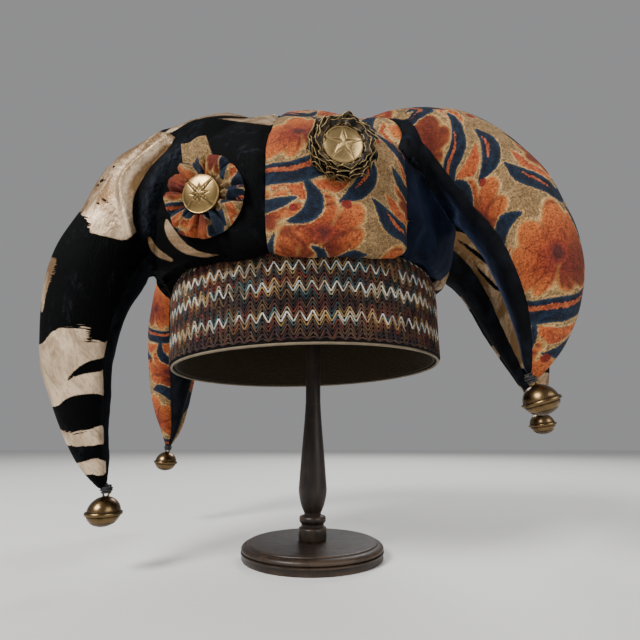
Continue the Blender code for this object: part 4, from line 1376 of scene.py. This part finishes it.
tapestry_seat = seat_on_cloth(ROSETTE_PIXEL, ROSETTE_RADIUS, ROSETTE_LEAN)
turn = full_turn(ROSETTE_STEPS)
drift = wander_round(turn, 2, 4.0)
fold = np.abs(np.cos(GATHERS * (turn + 0.42 * drift) / 2)) ** 0.62
tuck = np.abs(np.cos(GATHERS * 1.5 * (turn + 0.30 * drift) + 0.6)) ** 0.6
uneven = 1 + 0.25 * wander_round(turn, 3, 9.0)
GATHER_LINE = [  # share of the radius, share of the depth, how much the folds ripple it
    (0.20, 0.02, 0.0), (0.94, 0.02, 0.05), (0.99, 0.12, 0.30), (1.00, 0.34, 0.50), (0.965, 0.52, 0.66),
    (0.90, 0.63, 0.78), (0.82, 0.69, 0.84), (0.72, 0.69, 0.88), (0.62, 0.65, 0.86), (0.52, 0.58, 0.80),
    (0.44, 0.50, 0.62), (0.36, 0.44, 0.30), (0.12, 0.40, 0.0),
]
rings = []
fan = []
for share, rise, ripple in GATHER_LINE:
    reach = ROSETTE_RADIUS * share * (1 + (0.06 * fold - 0.04 + 0.05 * drift) * (share > 0.75))
    level = ROSETTE_DEPTH * (rise + ripple * (fold - 0.55 + 0.22 * (tuck - 0.7)))
    if 0.4 < share < 1:
        level = level * uneven
    rings.append(np.column_stack([reach * np.cos(turn), reach * np.sin(turn), level]))
    fan.append(np.column_stack([turn * 30, np.full(ROSETTE_STEPS, share * 26)]))
rosette = grid_mesh("rosette_gathers", rings)
fan = np.vstack(fan + [fan[0].mean(0)[None], fan[-1].mean(0)[None]])
weave_motifs(rosette, fan[:, 0], fan[:, 1], 90, (31, -14), 1.15)
rosette.data.shade_smooth()
rosette.data.materials.append(tapestry)

TAB_WIDTH = 0.0185
TAB_LENGTH = 0.022
TAB_TURN = math.radians(9)
bpy.ops.mesh.primitive_grid_add(x_subdivisions=18, y_subdivisions=22, size=1)
tab = bpy.context.active_object
tab.name = "rosette_tab"
flat = read_points(tab) * [TAB_WIDTH, TAB_LENGTH, 1]
flat[:, 0] *= 1.12 - 12 * (flat[:, 1] + TAB_LENGTH / 2)
curl = 0.0011 * np.sin(flat[:, 0] * 420) * np.clip(flat[:, 1] / TAB_LENGTH + 0.5, 0, 1)
flat[:, 2] = 0.0030 + curl + 0.10 * np.clip(flat[:, 1] + 0.004, 0, 1)
flat[:, 1] += ROSETTE_RADIUS * 0.96
tab_turn = np.array(Matrix.Rotation(TAB_TURN, 3, "Z"))
write_points(tab, flat @ tab_turn.T)
weave_motifs(tab, flat[:, 0] * 1000, flat[:, 1] * 1000, 0, (22, -66), 1.0)
for name in ("bloom", "heart", "leaf", "vein", "rust", "red"):
    tab.data.attributes[name].data.foreach_set("value", np.full(len(tab.data.vertices), 20, np.float32))
tab.data.materials.append(tapestry)
tab.data.shade_smooth()
wall = tab.modifiers.new("Wall", "SOLIDIFY")
wall.thickness = 0.0009
apply_all(tab)
for piece in (rosette, tab):
    set_in(piece, tapestry_seat)
    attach(piece, "root")
    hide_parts("rosette_tapestry")


# Ribbon rosette. Black and bronze ribbon with a gold wire in its edge is ruffled into three rings of loops.
RUFFLES = [  # inner radius, outer radius, loops, level of the inner edge, rise, start in degrees
    (0.0090, 0.0193, 17, 0.0010, 0.0036, 0),
    (0.0085, 0.0175, 16, 0.0024, 0.0042, 9),
    (0.0080, 0.0150, 13, 0.0038, 0.0038, 4),
]
RIBBON_PIXEL = (341, 152)
RIBBON_RADIUS = 0.022
RIBBON_LEAN = 0.40
RIBBON_WALL = 0.0004
GOLD_WIRE = 0.00020
CRUSH = 0.0023
CRUSHES_PER_METRE = 240
LOOP_STEPS = 12
RUFFLE_ROWS = 6
INNER_WIRE_ROW = 3
WIRE_LIFT = 0.0002
ribbon_seat = seat_on_cloth(RIBBON_PIXEL, RIBBON_RADIUS, RIBBON_LEAN)
ribbon_cloth, shader = start_material("bronze_ribbon", roughness=0.34, specular=0.22)
place = object_place(shader)
shot = grain(place, 210, 3, 0.6, 0.5)
ribs = {"Vector": place, "Scale": 900.0, "Distortion": 1.0}
rib = node(shader, "TexWave", ribs, bands_direction="Z").outputs[1]
bronze = mixed(between(shot, 0.42, 0.62), (0.0035, 0.0035, 0.004), (0.060, 0.038, 0.016))
feed(shader, "Base Color", bronze)
bump(shader, layered((shot, 1), (rib, 0.3)), 0.0003)
gold_thread, shader = start_material("gold_thread", roughness=0.4, metallic=0.75)
place = object_place(shader)
spun_gold = grain(place, 1400, 2)
feed(shader, "Base Color", mixed(spun_gold, (0.12, 0.075, 0.028), (0.52, 0.37, 0.155)))
bump(shader, spun_gold, 0.0002)


def tube_round(points, radius, sides, closed=True):
    """Rings of a thin tube along a closed line of points, open at its ends if asked."""
    ahead = np.roll(points, -1, axis=0) - np.roll(points, 1, axis=0)
    if not closed:
        ahead[0] = points[1] - points[0]
        ahead[-1] = points[-1] - points[-2]
    ahead /= np.linalg.norm(ahead, axis=1)[:, None]
    side = np.cross(ahead, [0.02, 0.03, 1.0])
    side /= np.linalg.norm(side, axis=1)[:, None]
    top = np.cross(side, ahead)
    rings = []
    turns = full_turn(sides)[:, None]
    for i in range(len(points)):
        rings.append(points[i] + radius * (side[i] * np.cos(turns) + top[i] * np.sin(turns)))
    return rings + rings[:1] if closed else rings


ruffles = []
wires = []
for number, (inner, outer, loops_round, level, lift, start) in enumerate(RUFFLES):
    turn = full_turn(loops_round * LOOP_STEPS)
    shift = math.radians(start)
    uneven = wander_round(turn, 3, number * 5.0)
    points_grid = []
    for share in np.linspace(0, 1, RUFFLE_ROWS):
        swing = 0.62 * (2 * math.pi / loops_round) * share * np.sin(loops_round * turn)
        angle = turn + shift + swing * (1 + 0.5 * uneven)
        reach = inner + (outer - inner) * share * (1 + 0.10 * uneven - 0.05 * np.cos(2 * loops_round * turn))
        up = level + share * (lift * (0.5 + 0.9 * np.cos(loops_round * turn + 0.7)) + 0.0006)
        up = np.maximum(up, 0.0004)
        line = np.column_stack([reach * np.cos(angle), reach * np.sin(angle), up])
        aside = Vector((number * 7, 0, 0))
        crush = np.array([drift_at(Vector(p) * CRUSHES_PER_METRE + aside) for p in line])
        line += crush * CRUSH * share
        line[:, 2] = np.maximum(line[:, 2], 0.0003)
        points_grid.append(line)
    ruffle = grid_mesh("ruffle_%d" % number, points_grid, closed_ends=False)
    wall = ruffle.modifiers.new("Wall", "SOLIDIFY")
    wall.thickness = RIBBON_WALL
    wall.offset = 0
    apply_all(ruffle)
    ruffles.append(ruffle)
    for line in (points_grid[-1], points_grid[INNER_WIRE_ROW]):
        wire = tube_round(line + [0, 0, WIRE_LIFT], GOLD_WIRE, 6)
        wires.append(grid_mesh("wire", wire, closed_ends=False))
for name, group, material in (
    ("ribbon_ruffles", ruffles, ribbon_cloth),
    ("ribbon_gold_edge", wires, gold_thread),
):
    piece = group[0]
    join_into(piece, group[1:])
    piece.name = name
    mend(piece.data, merge=0.0000005)
    piece.data.shade_smooth()
    set_in(piece, ribbon_seat)
    piece.data.materials.append(material)
    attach(piece, "root")
    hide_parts("rosette_ribbon")


# Buttons. Domed antique brass with a beaded rim. The right one bears a five-pointed star, the left one an
# eight-rayed figure, raised in the pressing and dark in the hollows.
BUTTON_RADIUS = 0.0115
BUTTON_HEIGHT = 0.0048
BUTTON_LIFT = 0.0038
STAR_RADIUS = 0.0070
GROOVE = 0.00022
BUTTON_STEPS = 180


def brass(name, bright, dark, roughness):
    material, shader = start_material(name, roughness=roughness, metallic=1.0)
    place = object_place(shader)
    cloud = grain(place, 240, 4, 0.6)
    pits = grain(place, 1600, 2)
    patina = plus(field(shader, "patina"), between(cloud, 0.40, 0.85, 0.0, 0.45), clamp=True)
    feed(shader, "Base Color", mixed(patina, bright, dark))
    feed(shader, "Roughness", between(patina, 0, 1, roughness, 0.62))
    bump(shader, layered((cloud, 0.8), (pits, 1)), 0.00004)
    return material


# The left button's brass is darker than the right one's.
button_brass = {
    "left": brass("button_brass_darker", (0.250, 0.164, 0.064), (0.036, 0.022, 0.010), 0.29),
    "right": brass("button_brass_brighter", (0.560, 0.385, 0.170), (0.050, 0.031, 0.014), 0.25),
}


def star_edge(x, y, rays, inner, radius):
    """Distance inside the edge of a star with straight sides, negative outside it."""
    angle = np.arctan2(y, x) - math.pi / 2
    part = 2 * math.pi / rays
    folded = np.abs((angle + part / 2) % part - part / 2)
    far = np.hypot(x, y)
    px, py = far * np.cos(folded), far * np.sin(folded)
    ax, ay = inner * radius * math.cos(part / 2), inner * radius * math.sin(part / 2)
    run = np.array([radius - ax, -ay])
    return -((px - ax) * -run[1] + (py - ay) * run[0]) / np.hypot(*run)


def button(name, seat, side):
    rings = []
    patina = []
    turn = full_turn(BUTTON_STEPS)
    for share in np.linspace(0.012, 1.0, 72):
        x, y = share * BUTTON_RADIUS * np.cos(turn), share * BUTTON_RADIUS * np.sin(turn)
        dome = BUTTON_HEIGHT * (0.42 + 0.50 * math.sqrt(max(0.0, 1 - (share / 1.02) ** 2)))
        bead = 0.00035 * math.exp(-(((share - 0.955) / 0.022) ** 2))
        rim = bead - 0.0010 * max(0.0, share - 0.975) / 0.025
        if side == "right":
            edge = star_edge(x, y, 5, 0.30, STAR_RADIUS)
            line = np.abs(edge + 0.0006)
        else:
            cross = star_edge((x + y) * 0.7071, (y - x) * 0.7071, 4, 0.13, 0.0098)
            edge = np.maximum(cross, star_edge(x, y, 8, 0.55, 0.0040))
            knots = np.abs(np.hypot(np.abs(x) - 0.0026, np.abs(y) - 0.0026) - 0.0011)
            line = np.minimum(knots, np.abs(edge + 0.0005))
        figure = np.clip(edge / 0.0016, 0, 1)
        groove = np.exp(-((line / GROOVE) ** 2))
        rings.append(np.column_stack([x, y, dome + rim + 0.00060 * figure - GROOVE * groove]))
        outline = np.exp(-((edge / GROOVE) ** 2))
        by_rim = 0.35 * math.exp(-(((share - 0.915) / 0.02) ** 2))
        patina.append(np.maximum(0.95 * outline, 0.7 * groove) + by_rim)
    for share, level in ((0.99, 0.30), (0.93, 0.12), (0.85, 0.0), (0.4, 0.0)):
        x, y = share * BUTTON_RADIUS * np.cos(turn), share * BUTTON_RADIUS * np.sin(turn)
        rings.append(np.column_stack([x, y, np.full(BUTTON_STEPS, BUTTON_HEIGHT * level)]))
        patina.append(np.full(BUTTON_STEPS, 0.9))
    piece = grid_mesh(name, rings)
    values = np.concatenate([np.broadcast_to(p, BUTTON_STEPS) for p in patina] + [[0.0, 0.9]])
    add_attribute(piece, "patina", values)
    piece.data.shade_smooth()
    write_points(piece, read_points(piece) + [0, 0, BUTTON_LIFT])
    set_in(piece, seat)
    piece.data.materials.append(button_brass[side])
    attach(piece, "root")
    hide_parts("button_" + side)


button("button_left_pressed", tapestry_seat, "left")
button("button_right_pressed", ribbon_seat, "right")


# Jingle bells of antique brass, pressed in two halves that meet in a rim, with a slot and two round holes
# below, a loose ball inside and a wire loop on top. A few turns of black thread tie each to its horn's tip.
BELL_DOME = 0.0095
BELL_RIM = 0.0106
BELL_WALL = 0.0009
BELL_BOWL = 0.78
BELL_SLOT = 0.0017
BELL_HOLE = 0.0016
LOOP_RADIUS = 0.0016
LOOP_WIRE = 0.0006
BALL_RADIUS = 0.0031
TIE_STEPS = 260
TIE_TURNS = 9
TIE_LENGTH = 0.0052
TIE_THREAD = 0.00038
TIP_DROP = 0.0005
TIP_GAP = 0.0003
BELL_LEAN = {"front_left": 0, "front_right": -17, "back_left": 4, "back_right": -8}
BELL_HANG = BELL_DOME + LOOP_RADIUS + LOOP_WIRE
bell_brass = brass("bell_brass", (0.155, 0.100, 0.046), (0.030, 0.019, 0.010), 0.25)
thread, shader = start_material("black_thread", roughness=0.7, specular=0.3)
place = object_place(shader)
strand = grain(place, 1800, 2)
feed(shader, "Base Color", mixed(strand, (0.004, 0.004, 0.005), (0.03, 0.03, 0.035)))
bump(shader, strand, 0.0002)


def round_side(radius, start, end, count):
    """Profile of a bell from one angle off its top to another, flatter below than above."""
    line = []
    for a in np.radians(np.linspace(start, end, count)):
        line.append((radius * math.sin(a), (BELL_BOWL if math.cos(a) < 0 else 1) * radius * math.cos(a)))
    return line


def bell(side):
    rim_edge = BELL_RIM - 0.0003
    rim = [(rim_edge, 0.0009), (BELL_RIM, 0.0005), (BELL_RIM, -0.0005), (rim_edge, -0.0009)]
    outer = round_side(BELL_DOME, 3, 84, 22) + rim + round_side(BELL_DOME, 98, 177, 22)
    upright = Matrix.Identity(4)
    body = lathe("bell_%s_brass" % side, outer, 72, bell_brass, place=upright)
    room = lathe("bell_room", round_side(BELL_DOME - BELL_WALL, 177, 3, 30), 48, bell_brass, place=upright)
    bpy.ops.mesh.primitive_cube_add(size=1, location=(0, 0, -BELL_DOME * 0.72))
    slot = bpy.context.active_object
    slot.scale = (BELL_DOME * 1.25, BELL_SLOT, BELL_DOME * 0.9)
    bpy.ops.object.transform_apply(location=False, rotation=False, scale=True)
    cutters = [room, slot]
    for way in (-1, 1):
        bpy.ops.mesh.primitive_cylinder_add(
            vertices=24,
            radius=BELL_HOLE,
            depth=BELL_DOME,
            location=(way * BELL_DOME * 0.66, 0, -BELL_DOME * 0.5),
            rotation=(0, math.radians(-way * 38), 0),
        )
        cutters.append(bpy.context.active_object)
    for cutter in cutters:
        cut = body.modifiers.new("Cut", "BOOLEAN")
        cut.operation = "DIFFERENCE"
        cut.solver = "EXACT"
        cut.object = cutter
        apply_all(body)
        bpy.data.objects.remove(cutter)
    bpy.ops.mesh.primitive_torus_add(
        major_radius=LOOP_RADIUS,
        minor_radius=LOOP_WIRE,
        major_segments=32,
        minor_segments=10,
        location=(0, 0, BELL_DOME + LOOP_RADIUS * 0.6),
        rotation=(math.radians(90), 0, 0),
    )
    loop = bpy.context.active_object
    bpy.ops.mesh.primitive_ico_sphere_add(subdivisions=3, radius=BALL_RADIUS, location=(0.0004, 0, -0.0040))
    ball = bpy.context.active_object
    for piece in (loop, ball):
        choose(piece)
        bpy.ops.object.transform_apply(location=True, rotation=True, scale=True)
        piece.data.materials.append(bell_brass)
    join_into(body, [loop, ball])
    climb = np.linspace(0, 1, TIE_STEPS)
    turns = np.linspace(0, 2 * math.pi * TIE_TURNS, TIE_STEPS)
    girth = 0.0014 + 0.0017 * np.sin(math.pi * (0.15 + 0.75 * climb))
    wrap = np.column_stack([
        girth * np.cos(turns) * (1 + 0.15 * np.sin(turns * 0.37)),
        girth * np.sin(turns) * 0.9,
        BELL_DOME + LOOP_RADIUS * 0.9 + TIE_LENGTH * climb + 0.0005 * np.sin(turns * 0.43),
    ])
    tie = grid_mesh("thread_" + side, tube_round(wrap, TIE_THREAD, 8, closed=False))
    tie.data.materials.append(thread)
    mend(tie.data, merge=0.0000005)
    tie.data.shade_smooth()
    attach(tie, "root")
    azimuth = math.radians(HORNS[side][0])
    reach, height = HORNS[side][1][-1][:2]
    tip = HAT_PLACE @ Vector((reach * math.cos(azimuth), reach * math.sin(azimuth), height - TIP_DROP))
    lean = Matrix.Rotation(math.radians(BELL_LEAN[side]), 4, "Y")
    hung = np.array(Matrix.Translation(tip) @ lean @ Matrix.Translation((0, 0, -BELL_HANG - TIP_GAP)))
    spots = read_points(body)
    reach = np.hypot(spots[:, 0], spots[:, 1])
    # Patina in the crevice beside the rim, and the lower bowl made darker.
    beside_rim = np.exp(-(((np.abs(spots[:, 2]) - 0.0012) / 0.0007) ** 2)) * (reach < BELL_DOME * 1.03)
    rim_patina_and_lower_darkening = np.clip(0.9 * beside_rim + 0.5 * (spots[:, 2] < -BELL_DOME * 0.45), 0, 1)
    for piece in (body, tie):
        write_points(piece, read_points(piece) @ hung[:3, :3].T + hung[:3, 3])
    add_attribute(body, "patina", rim_patina_and_lower_darkening)
    choose(body)
    bpy.ops.object.shade_smooth_by_angle(angle=math.radians(40))
    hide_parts("bell_" + side)


for side in HORNS:
    bell(side)


# Stand. A turned foot with a moulded edge, a tapered stem with rings at its lower end and a hidden cap that
# carries the crown, all of dark stained wood with a satin polish, worn brown on its edges.
BASE_LINE = [  # each line of the stand: radius, height above the floor
    (0.0001, 0.0100), (0.0300, 0.0100), (0.0425, 0.0099), (0.0436, 0.0098), (0.0440, 0.0094),
    (0.0441, 0.0090), (0.0447, 0.0089), (0.0456, 0.0087), (0.0466, 0.0083), (0.0474, 0.0076),
    (0.0478, 0.0068), (0.0478, 0.0061), (0.0474, 0.0056), (0.0470, 0.0054), (0.0469, 0.0051),
    (0.0473, 0.0049), (0.0479, 0.0046), (0.0480, 0.0041), (0.0477, 0.0036), (0.0475, 0.0032),
    (0.0475, 0.0006), (0.0471, 0.0000), (0.0300, 0.0000), (0.0001, 0.0000),
]
STEM_LINE = [
    (0.0054, 0.2975), (0.0054, 0.1200), (0.0056, 0.1000), (0.0066, 0.0840), (0.0083, 0.0640),
    (0.0095, 0.0480), (0.0098, 0.0410), (0.0082, 0.0330), (0.0058, 0.0272),
]
FOOT_LINE = [
    (0.0057, 0.0262), (0.0070, 0.0259), (0.0085, 0.0254), (0.0091, 0.0246), (0.0092, 0.0234),
    (0.0091, 0.0222), (0.0085, 0.0213), (0.0079, 0.0209), (0.0077, 0.0203), (0.0078, 0.0195),
    (0.0077, 0.0188), (0.0080, 0.0185), (0.0092, 0.0182), (0.0095, 0.0176), (0.0096, 0.0165),
    (0.0096, 0.0120), (0.0094, 0.0106), (0.0090, 0.0101),
]
CAP_LINE = [
    (0.0001, 0.3112), (0.0120, 0.3107), (0.0240, 0.3089), (0.0340, 0.3061), (0.0382, 0.3036),
    (0.0390, 0.3022), (0.0390, 0.2996), (0.0384, 0.2984), (0.0360, 0.2978), (0.0001, 0.2978),
]
EDGE_REACH = 0.0004
wood, shader = start_material("dark_wood", roughness=0.35, coat=0.05, specular=0.25)
place = object_place(shader)
figure = grain(stretched(place, (1, 1, 0.06)), 210, 4, 0.6, 0.4)
across = grain(stretched(place, (0.25, 1, 1)), 120, 4, 0.6, 0.3)
pores = grain(stretched(place, (1, 1, 0.05)), 1500, 2)
wear = grain(place, 60, 3, 0.6)
stain = mixed(between(figure, 0.35, 0.65), (0.0050, 0.0036, 0.0030), (0.020, 0.012, 0.008))
stain = mixed(between(across, 0.52, 0.72, 0.0, 0.55), stain, (0.040, 0.024, 0.014))
worn_edge = times(field(shader, "edge"), between(wear, 0.35, 0.6))
stain = mixed(worn_edge, stain, (0.055, 0.034, 0.021))
feed(shader, "Base Color", stain)
feed(shader, "Roughness", between(wear, 0.3, 0.7, 0.32, 0.52))
bump(shader, layered((figure, 1), (pores, 0.4)), 0.00018)
stem_line = [(POLE, STEM_LINE[0][1])] + [tuple(p) for p in spline(STEM_LINE, 80)]
stem_line += FOOT_LINE + [(POLE, FOOT_LINE[-1][1])]
for name, node_name, line, steps in (
    ("stand_base_turned", "stand_base", BASE_LINE, 144),
    ("stand_stem_turned", "stand_stem", stem_line, 72),
    ("stand_cap_turned", "stand_cap", CAP_LINE, 96),
):
    piece = lathe(name, line, steps, wood, place=Matrix.Identity(4))
    spots = read_points(piece)
    reach = np.hypot(spots[:, 0], spots[:, 1])
    turned_edge = np.zeros(len(spots))
    for last, here, following in zip(*(np.array(line[k:]) for k in range(3))):
        before = here - last
        after = following - here
        bend = before[0] * after[1] - before[1] * after[0]
        bend /= np.hypot(*before) * np.hypot(*after) + 1e-12
        close = np.hypot(reach - here[0], spots[:, 2] - here[1]) < EDGE_REACH
        turned_edge = np.where(close, np.clip(-bend * 2.2, 0, 1), turned_edge)
    add_attribute(piece, "edge", turned_edge)
    choose(piece)
    bpy.ops.object.shade_smooth_by_angle(angle=math.radians(50))
    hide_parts(node_name)


# Stage. A pale floor, an even surround and three lights: the main one at the upper left, a softer one at the
# right and one behind. None of it belongs to the part.
bpy.ops.mesh.primitive_plane_add(size=6, location=(0, 0, -0.0002))
floor = bpy.context.active_object
floor.name = "floor"
floor_material = bpy.data.materials.new("floor_paper")
floor_material.use_nodes = True
paper = floor_material.node_tree.nodes["Principled BSDF"]
paper.inputs["Base Color"].default_value = (0.74, 0.73, 0.71, 1)
paper.inputs["Roughness"].default_value = 0.8
floor.data.materials.append(floor_material)
world = bpy.data.worlds.new("studio")
bpy.context.scene.world = world
world.use_nodes = True
surround = world.node_tree.nodes["Background"]
surround.inputs["Color"].default_value = (0.86, 0.86, 0.88, 1)
surround.inputs["Strength"].default_value = 0.34
for name, place, energy, size in (
    ("key_light", (-0.95, -1.05, 1.15), 44, 0.55),
    ("fill_light", (1.2, -0.9, 0.7), 13, 0.9),
    ("rim_light", (0.3, 1.3, 1.4), 20, 0.8),
):
    data = bpy.data.lights.new(name, "AREA")
    data.energy = energy
    data.size = size
    light = bpy.data.objects.new(name, data)
    light.location = place
    light.rotation_euler = (Vector((0, 0, 0.2)) - Vector(place)).to_track_quat("-Z", "Y").to_euler()
    bpy.context.scene.collection.objects.link(light)
